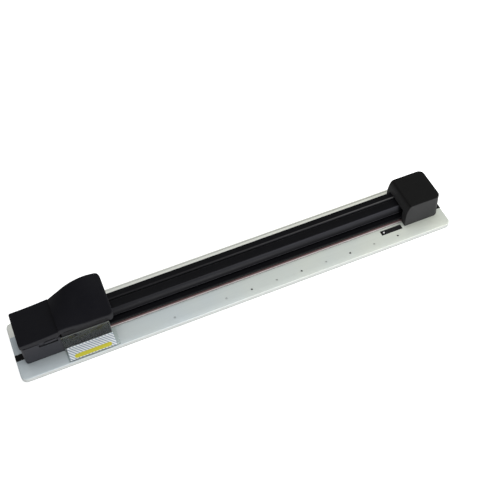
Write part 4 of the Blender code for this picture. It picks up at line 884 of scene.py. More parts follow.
@dataclass(frozen=True)
class MouldedPlastic:
    """Moulded plastic: grain, smudges, a little dust, worn edges with a painted highlight, painted
    side light and gap shade.
    """

    name: str
    colour: Colour
    # Colour of upright faces: painted side light, for how the light falls on them
    side: Colour
    # Colour of worn edges, which also stands for a painted highlight
    worn_edge_highlight: Colour
    roughness: float = 0.45
    specular: float = 0.25
    grain: float = 2400.0
    depth: float = 0.00002
    worn_highlight_share: float = 0.6
    dust: float = 0.05
    edge_width: float = 0.0004
    gap_reach: float = 0.0035

    def build(self, effects: Effects) -> Material:
        """Build the material.

        Args:
            effects: The shared effects.

        Returns:
            The material.
        """
        material, graph, shader = new_material(self.name)
        grain = graph.use(effects.grain, Scale=self.grain)
        edges = graph.use(effects.edges, Width=self.edge_width, Breakup=300.0)
        dust = graph.use(effects.dust, Amount=self.dust, Scale=110.0)
        smudge = graph.use(effects.smudge, Scale=24.0)
        sides = graph.use(effects.sides, Breakup=35.0)
        # Painted side light: upright faces take a colour of their own
        lit_and_shaded = graph.blend(sides["Mask"], self.colour, self.side)
        gaps = graph.use(effects.gap_shade, Reach=self.gap_reach)
        # Painted shade: deep in the gaps between pieces the colour goes towards black
        lit_and_shaded = graph.blend(graph.times(gaps["Mask"], 0.85), lit_and_shaded, BLACK)
        fleck = graph.times(graph.math("SUBTRACT", 1.0, grain["Fleck"]), 0.16)
        base = graph.blend(fleck, lit_and_shaded, BLACK)
        # Worn edges, painted lighter as a highlight too
        worn = graph.blend(graph.times(edges["Mask"], self.worn_highlight_share), base, self.worn_edge_highlight)
        dusted = graph.blend(dust["Mask"], worn, (0.35, 0.35, 0.34))
        gloss = graph.spread(smudge["Mask"], 0.0, 1.0, self.roughness - 0.05,
                             self.roughness + 0.07)
        graph.fill(shader, {
            "Base Color": dusted, "Roughness": gloss, "Specular IOR Level": self.specular,
            "Normal": graph.relief(grain["Height"], self.depth, edges["Normal"])})
        return material


@dataclass(frozen=True)
class CoatedMetal:
    """Coated plate or bar: cloudy over drawn lines, worn edges with a painted highlight and painted
    shade in hollows.

    Painted light: its tone may shift along X from colour to cloud, its upright faces may gain in
    tone the same way, and one band between two Y may be painted lighter, from band to its end
    colour.
    """

    name: str
    colour: Colour
    cloud: Colour
    side: Colour
    worn_edge_highlight: Colour
    roughness: float = 0.4
    metallic: float = 0.3
    specular: float = 0.4
    line_depth: float = 0.000004
    line_share: float = 0.12
    cloud_scale: float = 14.0
    worn_highlight_share: float = 0.5
    dust: float = 0.04
    # How far painted shade darkens the hollows
    hollow_shade: float = 0.6
    edge_width: float = 0.0003
    # Painted light: how far the tone shifts along X, over which span, and how much the upright
    # faces gain
    light_drift: float = 0.0
    light_drift_x: Span = (-0.30, 0.30)
    side_light_gain: float = 1.0
    # Painted light: the lighter band's start and end colours, where it lies across Y, and how much
    # shows
    band: Colour = (0.02, 0.02, 0.02)
    lit_band_end: Colour = (0.02, 0.02, 0.02)
    lit_band_y: Span = (0.0, 0.0)
    lit_band_share: float = 0.0

    def build(self, effects: Effects) -> Material:
        """Build the material.

        Args:
            effects: The shared effects.

        Returns:
            The material.
        """
        material, graph, shader = new_material(self.name)
        lines = graph.use(effects.lines, Fineness=1.0)
        edges = graph.use(effects.edges, Width=self.edge_width, Breakup=180.0)
        dust = graph.use(effects.dust, Amount=self.dust, Scale=60.0)
        smudge = graph.use(effects.smudge, Scale=self.cloud_scale)
        sides = graph.use(effects.sides, Breakup=20.0)
        hollow_shade = graph.use(effects.hollow_shade, Reach=0.002, Scale=500.0)
        parts = graph.split(graph.place())
        # Painted light: the tone shifts along X as the light on the piece changes
        reach = graph.spread(parts["X"], *self.light_drift_x)
        along = graph.times(reach, self.light_drift)
        patches = graph.times(smudge["Mask"], 1.0 - self.light_drift)
        clouds_and_light_drift = graph.blend(graph.math("ADD", along, patches), self.colour, self.cloud)
        # Painted light: one band between two Y is painted lighter, more so towards +X
        front = graph.spread(parts["Y"], self.lit_band_y[0], self.lit_band_y[0] + 0.0002)
        back = graph.spread(parts["Y"], self.lit_band_y[1], self.lit_band_y[1] + 0.0006, 1.0, 0.0)
        band = graph.times(graph.times(front, back), self.lit_band_share)
        lit_band_tone = graph.blend(graph.math("POWER", reach, 2.0), self.band, self.lit_band_end)
        banded = graph.blend(band, clouds_and_light_drift, lit_band_tone)
        # Painted side light: upright faces take a colour of their own, growing along X
        side = graph.blend(reach, self.side, scaled(self.side, self.side_light_gain))
        lit_and_shaded = graph.blend(sides["Mask"], banded, side)
        share = graph.times(lines["Mask"], self.line_share)
        lined = graph.blend(share, lit_and_shaded, BLACK)
        worn = graph.blend(graph.times(edges["Mask"], self.worn_highlight_share), lined, self.worn_edge_highlight)
        # Painted shade in holes, grooves and inner corners
        hollow_shaded = graph.blend(graph.times(hollow_shade["Mask"], self.hollow_shade), worn,
                             (0.012, 0.012, 0.011))
        dusted = graph.blend(dust["Mask"], hollow_shaded, (0.5, 0.5, 0.48))
        rough = graph.spread(smudge["Mask"], 0.0, 1.0, self.roughness - 0.05,
                             self.roughness + 0.06)
        graph.fill(shader, {
            "Base Color": dusted, "Metallic": self.metallic, "Specular IOR Level": self.specular,
            "Roughness": rough,
            "Normal": graph.relief(lines["Height"], self.line_depth, edges["Normal"])})
        return material


@dataclass(frozen=True)
class BareMetal:
    """Bare turned, ground or drawn metal with faint oil smudges, and edges painted lighter: part
    wear, part highlight.
    """

    name: str
    colour: Colour
    roughness: float = 0.28
    grain: float = 900.0
    depth: float = 0.000004

    def build(self, effects: Effects) -> Material:
        """Build the material.

        Args:
            effects: The shared effects.

        Returns:
            The material.
        """
        material, graph, shader = new_material(self.name)
        grain = graph.use(effects.grain, Scale=self.grain)
        edges = graph.use(effects.edges, Width=0.0002, Breakup=400.0)
        smudge = graph.use(effects.smudge, Scale=160.0)
        base = graph.blend(smudge["Mask"], scaled(self.colour, 0.72), self.colour)
        lighter = tuple(min(part, 1.0) for part in scaled(self.colour, 1.25))
        # Edges are lighter: part wear, part painted highlight
        graph.fill(shader, {
            "Base Color": graph.blend(edges["Mask"], base, lighter), "Metallic": 1.0,
            "Roughness": graph.spread(grain["Fleck"], 0.0, 1.0, self.roughness - 0.04,
                                      self.roughness + 0.08),
            "Normal": graph.relief(grain["Height"], self.depth, edges["Normal"])})
        return material


@dataclass(frozen=True)
class SoftRubber:
    """Matt black rubber with a coarse bloom and dust in its pits."""

    name: str
    colour: Colour
    roughness: float = 0.8

    def build(self, effects: Effects) -> Material:
        """Build the material.

        Args:
            effects: The shared effects.

        Returns:
            The material.
        """
        material, graph, shader = new_material(self.name)
        grain = graph.use(effects.grain, Scale=1500.0)
        smudge = graph.use(effects.smudge, Scale=120.0)
        base = graph.blend(smudge["Mask"], self.colour, scaled(self.colour, 1.9))
        dusted = graph.blend(graph.times(grain["Fleck"], 0.2), base, (0.12, 0.12, 0.115))
        graph.fill(shader, {
            "Base Color": dusted,
            "Roughness": graph.spread(grain["Fleck"], 0.0, 1.0, self.roughness - 0.08,
                                      self.roughness + 0.05),
            "Specular IOR Level": 0.25, "Normal": graph.relief(grain["Height"], 0.00004)})
        return material


@dataclass(frozen=True)
class CuttingMat:
    """Hard black mat, scored where the blade runs."""

    name: str
    colour: Colour
    blade_y: float
    score_width: float = 0.0007

    def build(self, effects: Effects) -> Material:
        """Build the material.

        Args:
            effects: The shared effects.

        Returns:
            The material.
        """
        material, graph, shader = new_material(self.name)
        parts = graph.split(graph.place())
        away = graph.math("ABSOLUTE", graph.math("SUBTRACT", parts["Y"], self.blade_y))
        near = graph.spread(away, 0.0, self.score_width, 1.0, 0.0)
        lines = graph.use(effects.lines, Fineness=1.6)
        score = graph.times(near, lines["Mask"])
        grain = graph.use(effects.grain, Scale=2000.0)
        lighter = tuple(part * 3.0 + 0.004 for part in self.colour)
        base = graph.blend(grain["Fleck"], self.colour, scaled(self.colour, 1.4))
        height = graph.math("SUBTRACT", grain["Height"], graph.times(score, 2.0))
        graph.fill(shader, {
            "Base Color": graph.blend(score, base, lighter),
            "Roughness": graph.spread(score, 0.0, 1.0, 0.55, 0.8), "Specular IOR Level": 0.05,
            "Normal": graph.relief(height, 0.00003)})
        return material


@dataclass(frozen=True)
class LineStrip:
    """Printed strip: dark red along the cut, fading to a pale band on the paper's side."""

    name: str
    dark: Colour
    pale: Colour
    front_y: float
    fade: Span

    def build(self, effects: Effects) -> Material:
        """Build the material.

        Args:
            effects: The shared effects.

        Returns:
            The material.
        """
        material, graph, shader = new_material(self.name)
        place = graph.place()
        parts = graph.split(place)
        wander = graph.times(graph.math("SUBTRACT", graph.noise(place, 55.0), 0.5), 0.0006)
        across = graph.math("ADD", graph.math("SUBTRACT", parts["Y"], self.front_y), wander)
        share = graph.spread(across, *self.fade)
        lines = graph.use(effects.lines, Fineness=0.8)
        ink = graph.blend(share, self.pale, self.dark)
        worn = graph.blend(graph.times(lines["Mask"], 0.25), ink, scaled(self.dark, 0.6))
        graph.fill(shader, {
            "Base Color": worn, "Roughness": graph.spread(lines["Mask"], 0.0, 1.0, 0.42, 0.6),
            "Specular IOR Level": 0.3, "Normal": graph.relief(lines["Height"], 0.000006)})
        return material


@dataclass(frozen=True)
class ClearSheet:
    """Clear bent sheet, faintly green, with fine handling scratches in its gloss."""

    name: str
    tint: Colour = (0.88, 0.93, 0.90)
    edge: Colour = (0.08, 0.13, 0.12)
    roughness: float = 0.12

    def build(self, effects: Effects) -> Material:
        """Build the material.

        Args:
            effects: The shared effects.

        Returns:
            The material.
        """
        material, graph, shader = new_material(self.name)
        smudge = graph.use(effects.smudge, Scale=60.0)
        lines = graph.use(effects.lines, Fineness=0.5)
        tint = graph.blend(smudge["Mask"], self.tint, scaled(self.tint, 0.985))
        sideways = graph.math("ABSOLUTE", graph.split(graph.normal())["X"])
        cut_end = graph.spread(sideways, 0.5, 0.9)
        graph.fill(shader, {
            "Base Color": graph.blend(cut_end, tint, self.edge),
            "Roughness": graph.spread(smudge["Mask"], 0.0, 1.0, self.roughness * 0.6,
                                      self.roughness * 1.5),
            "Metallic": 0.0, "Transmission Weight": 1.0, "IOR": 1.2, "Specular IOR Level": 0.3,
            "Normal": graph.relief(lines["Height"], 0.0000001)})
        return material


@dataclass(frozen=True)
class HatchedPrint:
    """Printed zone: slanting stripes round a plain yellow bar."""

    name: str
    centre: tuple[float, float]
    bar_half: tuple[float, float]
    pitch: float
    lean: float
    white: Colour
    stripe: Colour
    yellow: Colour

    def build(self, effects: Effects) -> Material:
        """Build the material.

        Args:
            effects: The shared effects.

        Returns:
            The material.
        """
        material, graph, shader = new_material(self.name)
        place = graph.place()
        parts = graph.split(place)
        slanted = graph.math("ADD", parts["X"], graph.times(parts["Y"], self.lean))
        turn = graph.math("SINE", graph.times(slanted, math.tau / self.pitch))
        striped = graph.blend(graph.spread(turn, 0.1, 0.55), self.white, self.stripe)
        away = graph.math("ABSOLUTE", graph.math("SUBTRACT", parts["X"], self.centre[0]))
        over_x = graph.math("SUBTRACT", away, self.bar_half[0] - self.bar_half[1])
        over_y = graph.math("SUBTRACT", parts["Y"], self.centre[1])
        square_x = graph.math("POWER", graph.math("MAXIMUM", over_x, 0.0), 2.0)
        reach = graph.math("SQRT", graph.math("ADD", square_x, graph.times(over_y, over_y)))
        inside = graph.spread(reach, self.bar_half[1] * 0.92, self.bar_half[1] * 1.02, 1.0, 0.0)
        ink = graph.noise(place, 900.0, 2.0)
        bar_ink = graph.blend(graph.spread(ink, 0.3, 0.7), self.yellow, scaled(self.yellow, 0.88))
        smudge = graph.use(effects.smudge, Scale=70.0)
        graph.fill(shader, {
            "Base Color": graph.blend(inside, striped, bar_ink),
            "Roughness": graph.spread(smudge["Mask"], 0.0, 1.0, 0.3, 0.42),
            "Specular IOR Level": 0.35, "Normal": graph.relief(ink, 0.000006)})
        return material


class Finishes:
    """Every finish on the trimmer, each built once."""

    def __init__(self, effects: Effects) -> None:
        """Build the materials.

        Args:
            effects: The shared effects.
        """
        # Painted light: lighter and warmer towards +X, darker upright faces, and a lighter strip
        # behind the rail
        self.base_metal = CoatedMetal(
            "pale_coated_plate", (0.45, 0.505, 0.55), (0.60, 0.625, 0.555), (0.40, 0.415, 0.405),
            (0.60, 0.61, 0.59), roughness=0.45, metallic=0.1, specular=0.2,
            line_share=0.05, light_drift=0.75, band=(0.76, 0.77, 0.72), lit_band_end=(0.74, 0.75, 0.67),
            lit_band_y=(0.0236, 0.0490), lit_band_share=1.0).build(effects)
        # Painted light: paler upright faces growing lighter towards +X, and a painted highlight
        # along the ridge
        self.rail_metal = CoatedMetal(
            "black_anodised_rail", (0.0034, 0.0034, 0.0044), (0.0030, 0.0030, 0.0040),
            (0.0150, 0.0150, 0.0176), (0.15, 0.15, 0.155), roughness=0.42, metallic=0.0,
            specular=0.035, edge_width=0.0005, line_share=0.5, dust=0.003, hollow_shade=0.8, light_drift=1.0,
            light_drift_x=(-0.20, 0.25), side_light_gain=2.8, band=(0.0130, 0.0130, 0.0145),
            lit_band_end=(0.1000, 0.1000, 0.1000), lit_band_y=(0.0126, 0.0140),
            lit_band_share=1.0).build(effects)
        # Upright faces a little paler: painted side light
        self.clamp_metal = CoatedMetal(
            "black_anodised_clamp", (0.002, 0.002, 0.003), (0.003, 0.003, 0.004),
            (0.006, 0.006, 0.007), (0.05, 0.05, 0.055), roughness=0.45, metallic=0.0,
            specular=0.03, line_share=0.4, worn_highlight_share=0.3, dust=0.0, hollow_shade=0.8).build(effects)
        self.mill_alloy = CoatedMetal(
            "mill_finish_alloy", (0.58, 0.58, 0.59), (0.52, 0.53, 0.54), (0.55, 0.55, 0.56),
            (0.75, 0.75, 0.76), roughness=0.4, metallic=0.9, line_share=0.3).build(effects)
        # Upright faces take a paler colour: painted side light
        self.top_plastic = MouldedPlastic(
            "black_cover_plastic", (0.0030, 0.0030, 0.0045), (0.022, 0.022, 0.0245),
            (0.05, 0.05, 0.055), roughness=0.5, specular=0.05, dust=0.003).build(effects)
        # The cap's upright faces are painted paler still, for the stronger light at this end
        self.cap_plastic = MouldedPlastic(
            "black_cap_plastic", (0.0045, 0.0045, 0.0045), (0.035, 0.035, 0.036),
            (0.06, 0.06, 0.06), roughness=0.5, specular=0.05, dust=0.003).build(effects)
        self.body_plastic = MouldedPlastic(
            "dark_grey_body_plastic", (0.022, 0.022, 0.026), (0.024, 0.0245, 0.029),
            (0.09, 0.09, 0.095), roughness=0.48, specular=0.12, dust=0.01).build(effects)
        # Painted shade: darker than the block's dark grey, for the shade behind the clear guard,
        # which casts no shadow
        self.shaded_chassis_plastic = MouldedPlastic(
            "shaded_dark_grey_chassis_plastic", (0.0115, 0.0115, 0.0130), (0.0120, 0.0120, 0.0135),
            (0.07, 0.07, 0.075), roughness=0.5, specular=0.1, dust=0.005).build(effects)
        self.plate_plastic = MouldedPlastic(
            "black_plate_plastic", (0.010, 0.010, 0.011), (0.014, 0.014, 0.015),
            (0.05, 0.05, 0.05), roughness=0.42, specular=0.1, dust=0.02).build(effects)
        self.white_plastic = MouldedPlastic(
            "white_glide_plastic", (0.74, 0.73, 0.69), (0.72, 0.71, 0.67), (0.85, 0.84, 0.8),
            roughness=0.4, specular=0.4, dust=0.03).build(effects)
        self.inner_plastic = MouldedPlastic(
            "black_inner_plastic", (0.014, 0.014, 0.015), (0.018, 0.018, 0.019),
            (0.05, 0.05, 0.05), roughness=0.5, specular=0.2).build(effects)
        self.rubber = SoftRubber("black_foot_rubber", (0.016, 0.016, 0.016)).build(effects)
        self.steel = BareMetal("bright_screw_steel", (0.58, 0.58, 0.59)).build(effects)
        self.dark_steel = BareMetal("blackened_screw_steel", (0.012, 0.012, 0.013),
                                    0.5).build(effects)
        self.blade_steel = BareMetal("ground_blade_steel", (0.66, 0.66, 0.67), 0.18, 2600.0,
                                     0.000002).build(effects)
        self.spring_steel = BareMetal("spring_wire_steel", (0.38, 0.38, 0.39), 0.32).build(effects)
        self.bronze = BareMetal("sintered_bronze", (0.45, 0.29, 0.13), 0.42, 3200.0,
                                0.00001).build(effects)
        self.clear = ClearSheet("clear_guard_sheet").build(effects)
        self.frosted = MouldedPlastic(
            "frosted_sawn_edge", (0.18, 0.19, 0.185), (0.16, 0.17, 0.165), (0.22, 0.23, 0.22),
            roughness=0.6, specular=0.2, dust=0.0).build(effects)
        self.mat = CuttingMat("black_cutting_mat", (0.003, 0.003, 0.003), -0.0158).build(effects)
        self.line = LineStrip("red_line_print", (0.32, 0.190, 0.195), (0.92, 0.85, 0.85), -0.0164,
                              (0.0012, 0.0020)).build(effects)
        self.print = HatchedPrint("hatched_guard_print", (-0.2198, -0.0428), (0.0259, 0.0034),
                                  0.0045, 0.90, (0.94, 0.98, 1.0), (0.36, 0.44, 0.55),
                                  (0.74, 0.68, 0.06)).build(effects)


# Sub-assemblies


@dataclass
class Base:
    """Slim coated plate with grooves, channels, markers, feet and a small let-in plate."""

    corner_radius: float = 0.0090
    edge_radius: float = 0.0014
    slope_radius: float = 0.0008
    bottom_radius: float = 0.0005
    slope_width: float = 0.0043
    slope_drop: float = 0.0020
    groove_y: Span = (-0.0170, -0.0064)
    groove_depth: float = 0.0016
    channel_half: float = 0.0115
    channel_offset: float = 0.0155
    channel_depth: float = 0.0028
    marker_first: float = -0.1032
    marker_pitch: float = 0.0380
    marker_y: float = -0.0373
    marker_radius: float = 0.0015
    shallow_markers: tuple[int, ...] = (0, 2, 4, 6, 8)
    deep_markers: tuple[int, ...] = (3, 5, 7, 9)
    marker_depths: Span = (0.0007, 0.0030)
    hole_length: float = 0.0050
    post_x: Span = (-0.2800, 0.2820)
    post_y: float = -0.0040
    post_hole_radius: float = 0.0021
    post_hole_depth: float = 0.0031
    screw_hole_length: float = 0.0120
    pocket_gap: float = 0.0003
    sole_inset: float = 0.0018
    sole_slope: float = 0.0008
    sole_depth: float = 0.00035
    foot_rim: float = 0.0065
    foot_edge: float = 0.0004
    tray_wall: float = 0.0010
    tray_depth: float = 0.0004
    tray_corner: float = 0.0008
    tray_edge: float = 0.00015
    stud_edge: float = 0.0005

    def build(self, finishes: Finishes) -> None:
        """Build the plate, its feet and its let-in plate, and dress the mat and strip.

        Args:
            finishes: The trimmer's finishes.
        """
        self.build_plate(finishes.base_metal)
        self.build_feet(finishes.rubber)
        self.build_slot_plate(finishes.plate_plastic, finishes.steel)
        dress_nodes(finishes.mat, "cutting_mat")
        dress_nodes(finishes.line, "cut_line_strip")

    def build_plate(self, material: Material) -> None:
        """Shape the plate: round corners, a sloped back edge, grooves, channels and holes.

        Args:
            material: The plate's material.
        """
        low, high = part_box("base_plate")
        plate = block("trimmer_base", (low.x, high.x), (low.y, high.y), (low.z, high.z))
        round_edges(plate, self.corner_radius, 12, upright_edge)
        slope_edge = Vector((0.0, high.y - self.slope_width, high.z))
        slope_normal = Vector((0.0, self.slope_drop, self.slope_width)).normalized()
        pick(plate, Pick.FACES, lambda *_: True)
        bpy.ops.mesh.bisect(plane_co=slope_edge, plane_no=slope_normal, use_fill=True,
                            clear_outer=True)
        let_go()
        on_top = at_or_over(high.z)
        round_edges(plate, self.edge_radius, 4,
                    lambda a, b: on_top(a, b) and max(a.y, b.y) < slope_edge.y - NEAR)
        round_edges(plate, self.slope_radius, 3,
                    lambda a, b: on_top(a, b) and min(a.y, b.y) > slope_edge.y - 10 * NEAR)
        round_edges(plate, self.bottom_radius, 2, at_or_under(low.z))
        carve(plate, *self.plate_cutters(low, high))
        present(plate, material, Body.BASE, Slot.PALE_METAL, "base_plate")

    def plate_cutters(self, low: Vector, high: Vector) -> list[Object]:
        """Make what is cut out of the plate.

        Args:
            low: Lowest corner of the plate.
            high: Highest corner of the plate.

        Returns:
            The cutters.
        """
        ends = (low.x - OVER, high.x + OVER)
        cutters = [block("mat_groove", ends, self.groove_y,
                         (high.z - self.groove_depth, high.z + OVER))]
        for centre in (-self.channel_offset, self.channel_offset):
            cutters.append(block("channel", ends,
                                 (centre - self.channel_half, centre + self.channel_half),
                                 (low.z - OVER, low.z + self.channel_depth)))
        start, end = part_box("slot_plate")
        gap = self.pocket_gap
        cutters.append(block("slot_pocket", (start.x - gap, end.x + gap),
                             (start.y - gap, end.y + gap), (start.z - gap, high.z + OVER)))
        half = self.hole_length / 2
        holes = []
        for numbers, depth in zip((self.shallow_markers, self.deep_markers), self.marker_depths):
            for number in numbers:
                x = self.marker_first + number * self.marker_pitch
                holes.append(rod("marker", Axis.UPRIGHT, (x, self.marker_y, high.z - depth + half),
                                 self.marker_radius, self.hole_length, 32))
        for x in self.post_x:
            place = (x, self.post_y, high.z - self.post_hole_depth + half)
            holes.append(rod("post_hole", Axis.UPRIGHT, place, self.post_hole_radius,
                             self.hole_length, HOLE_SIDES))
        screws = [(x, RAIL_SCREW_Y) for x in RAIL_SCREW_X]
        screws += [(x, SHELL_SCREW_Y) for x in (*LEFT_SHELL_SCREW_X, *RIGHT_SHELL_SCREW_X)]
        for x, y in screws:
            holes.append(rod("screw_hole", Axis.UPRIGHT, (x, y, (low.z + high.z) / 2), HOLE_RADIUS,
                             self.screw_hole_length, HOLE_SIDES))
        return [*cutters, gather("plate_holes", holes)]

    def build_feet(self, material: Material) -> None:
        """Shape one foot with a rounded rim and a dished sole, and copy it to every foot's place.

        Args:
            material: The feet's material.
        """
        low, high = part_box("foot_1")
        centre = (low + high) / 2
        pattern = rod("foot_pattern", Axis.UPRIGHT, centre, (high.x - low.x) / 2,
                      high.z - low.z, 56)
        pick(pattern, Pick.FACES, lambda _, normal: normal.z < -LEVEL)
        bpy.ops.mesh.inset(thickness=self.sole_inset)
        bpy.ops.mesh.inset(thickness=self.sole_slope)
        bpy.ops.transform.translate(value=(0.0, 0.0, self.sole_depth))
        let_go()
        on_floor = at_or_under(low.z)
        round_edges(pattern, self.foot_edge, 4, lambda a, b: on_floor(a, b)
                    and min((a - centre).xy.length, (b - centre).xy.length) > self.foot_rim)
        for number in range(1, 7):
            foot_low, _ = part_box(f"foot_{number}")
            foot = copy_to(pattern, f"rubber_foot_{number}", foot_low - low)
            present(foot, material, Body.BASE, Slot.RUBBER, f"foot_{number}")
        take(pattern)
        bpy.ops.object.delete()

    def build_slot_plate(self, plastic: Material, steel: Material) -> None:
        """Shape the small dished plate by the right end, and the stud in it.

        Args:
            plastic: The plate's material.
            steel: The stud's material.
        """
        low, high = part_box("slot_plate")
        plate = block("slot_tray", (low.x, high.x), (low.y, high.y), (low.z, high.z))
        round_edges(plate, self.tray_corner, 5, upright_edge)
        pick(plate, Pick.FACES, lambda _, normal: normal.z > LEVEL)
        bpy.ops.mesh.inset(thickness=self.tray_wall)
        extrude(0.0, 0.0, -self.tray_depth)
        let_go()
        round_edges(plate, self.tray_edge, 2, at_or_over(high.z))
        present(plate, plastic, Body.BASE, Slot.BLACK_PLASTIC, "slot_plate")
        low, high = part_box("slot_plate_stud")
        centre = (low + high) / 2
        stud = rod("slot_stud", Axis.UPRIGHT, centre, (high.x - low.x) / 2, high.z - low.z, 32)
        round_edges(stud, self.stud_edge, 4, at_or_over(high.z))
        present(stud, steel, Body.BASE, Slot.STEEL, "slot_plate_stud")


@dataclass
class Rail:
    """Black extruded guide rail: a ridge and groove on top, a hollow brow down to its lip."""

    back_y: float = 0.0235
    top: float = 0.0228
    underside: float = 0.0049
    edge_radius: float = 0.0012
    groove: Span = (0.0095, 0.0124)
    groove_depth: float = 0.0032
    ridge: float = 0.0010
    deck_drop: float = 0.0010
    deck_y: float = -0.0012
    brow_radius: float = 0.0016
    lip_y: float = -0.0075
    lip_height: float = 0.0109
    lip_thickness: float = 0.0008
    cove_sag: float = 0.0006
    pocket_height: float = 0.0094
    pocket_back: float = 0.0028
    pocket_chamfer: float = 0.0017
    thread_middle: float = 0.0056
    thread_length: float = 0.0112
    cove_steps: int = 12

    def outline(self) -> Outline:
        """Draw the cross-section, from the front lip round under the rail.

        Returns:
            The points (y, z).
        """
        top, deck = above_base(self.top), above_base(self.top - self.deck_drop)
        pocket, under = above_base(self.pocket_height), above_base(self.underside)
        lip = above_base(self.lip_height)
        points = [(self.lip_y, lip), (self.lip_y + self.pocket_chamfer, pocket),
                  (self.pocket_back, pocket), (self.pocket_back, under), (self.back_y, under)]
        points += circle_arc((self.back_y - self.edge_radius, top - self.edge_radius),
                             self.edge_radius, 0.0, 0.25)
        points += circle_arc((self.groove[1] + self.ridge, top - self.ridge), self.ridge, 0.25, 0.5)
        floor = top - self.groove_depth
        points += [(self.groove[1], floor), (self.groove[0], floor), (self.groove[0], deck)]
        points += circle_arc((self.deck_y, deck - self.brow_radius), self.brow_radius, 0.25, 0.45)
        brow_y, brow_z = points[-1]
        for step in range(1, self.cove_steps + 1):
            share = step / self.cove_steps
            sag = self.cove_sag * math.sin(math.pi * share)
            points.append((brow_y + (self.lip_y - brow_y) * share + sag,
                           brow_z + (lip + self.lip_thickness - brow_z) * share - sag))
        return points

    def build(self, finishes: Finishes) -> None:
        """Build the rail and dress the slabs that it stands on.

        Args:
            finishes: The trimmer's finishes.
        """
        low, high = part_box("guide_rail")
        rail = bar("extruded_rail", self.outline(), (low.x, high.x))
        middle = above_base(self.thread_middle)
        threads = [rod("thread", Axis.UPRIGHT, (x, RAIL_SCREW_Y, middle), HOLE_RADIUS,
                       self.thread_length, HOLE_SIDES) for x in RAIL_SCREW_X]
        carve(rail, gather("rail_threads", threads))
        present(rail, finishes.rail_metal, Body.BASE, Slot.ANODISED, "guide_rail")
        dress_nodes(finishes.mill_alloy, "rail_foot_left", "rail_foot_right")


@dataclass
class PaperClamp:
    """Sprung strip under the rail's lip, with its grip, posts and springs."""

    def build(self, finishes: Finishes) -> None:
        """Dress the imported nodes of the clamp, which keep their shape.

        Args:
            finishes: The trimmer's finishes.
        """
        dress_nodes(finishes.clamp_metal, "clamp_strip")
        dress_nodes(finishes.rubber, "clamp_grip")
        dress_nodes(finishes.spring_steel, "clamp_post_left", "clamp_post_right",
                    "clamp_spring_left", "clamp_spring_right")
        let_shorten("clamp_drop", "clamp_spring_left", "clamp_spring_right")


@dataclass
class Hood:
    """A moulded hood along X, whose top may rise, swell and round off."""

    x: Span
    y: Span
    bottom: float
    front_top: Callable[[float], float]
    back_top: Callable[[float], float]
    crown: float = 0.0
    front_edge: float = 0.0018
    back_edge: float = 0.0018
    corners: Span = (0.0, 0.0)
    end_edges: Span = (0.0, 0.0)
    front_rim: Callable[[float], float] = lambda x: 0.0
    back_rim: Callable[[float], float] = lambda x: 0.0
    corner_steps: int = 9
    crown_steps: int = 16

    @staticmethod
    def round_off(distance: float, radius: float) -> float:
        """Tell how far a quarter-round stands back at a distance from the end it rounds.

        Args:
            distance: Distance from the end.
            radius: Radius of the rounding.

        Returns:
            How far the surface stands back.
        """
        if radius <= 0.0 or distance >= radius:
            return 0.0
        return radius - math.sqrt(max(radius ** 2 - (radius - distance) ** 2, 0.0))

    def top(self, x: float, y: float) -> float:
        """Tell the height of the top before its edges are rounded.

        Args:
            x: Place along the hood.
            y: Place across it.

        Returns:
            The height.
        """
        share = share_along(y, *self.y)
        swell = self.crown * math.sin(math.pi * share)
        return self.front_top(x) + (self.back_top(x) - self.front_top(x)) * share + swell

    def stations(self, middle: int) -> list[float]:
        """List the places along X where the hood has a section.

        Args:
            middle: Number of steps between the rounded ends.

        Returns:
            The places.
        """
        reach = [max(self.corners[side], self.end_edges[side]) for side in (0, 1)]
        turns = [step / self.corner_steps * math.pi / 2 for step in range(self.corner_steps)]
        places = [self.x[0] + reach[0] * (1 - math.cos(turn)) for turn in turns if reach[0] > 0]
        start, end = self.x[0] + reach[0], self.x[1] - reach[1]
        places += [start + (end - start) * step / middle for step in range(middle + 1)]
        places += [self.x[1] - reach[1] * (1 - math.cos(turn)) for turn in turns[::-1]
                   if reach[1] > 0]
        return places

    def section(self, x: float) -> list[Place]:
        """Draw the section at one place.

        Args:
            x: Place along the hood.

        Returns:
            The points, from the front rim over the top to the back rim.
        """
        ends = (x - self.x[0], self.x[1] - x)
        inset = sum(self.round_off(ends[side], self.corners[side]) for side in (0, 1))
        drop = sum(self.round_off(ends[side], self.end_edges[side]) for side in (0, 1))
        front, back = self.y[0] + inset, self.y[1] - inset
        turns = [step / self.corner_steps * math.pi / 2 for step in range(self.corner_steps + 1)]
        across = [(front + self.front_edge * (1 - math.cos(turn)),
                   self.front_edge * (1 - math.sin(turn))) for turn in turns]
        start, end = front + self.front_edge, back - self.back_edge
        across += [(start + (end - start) * step / self.crown_steps, 0.0)
                   for step in range(1, self.crown_steps)]
        across += [(back - self.back_edge * (1 - math.cos(turn)),
                    self.back_edge * (1 - math.sin(turn))) for turn in turns[::-1]]
        points = [(x, y, self.top(x, y) - drop - fall) for y, fall in across]
        return [(x, front, self.bottom + self.front_rim(x)), *points,
                (x, back, self.bottom + self.back_rim(x))]

    def skin(self, name: str, middle: int) -> Object:
        """Build the hood's outer skin.

        Args:
            name: Name of the new piece.
            middle: Number of sections between the rounded ends.

        Returns:
            The skin, open at the bottom.
        """
        return loft(name, [self.section(x) for x in self.stations(middle)])


def share_along(x: float, start: float, end: float) -> float:
    """Tell how far along a stretch a place lies, from 0 to 1."""
    return min(max((x - start) / (end - start), 0.0), 1.0)


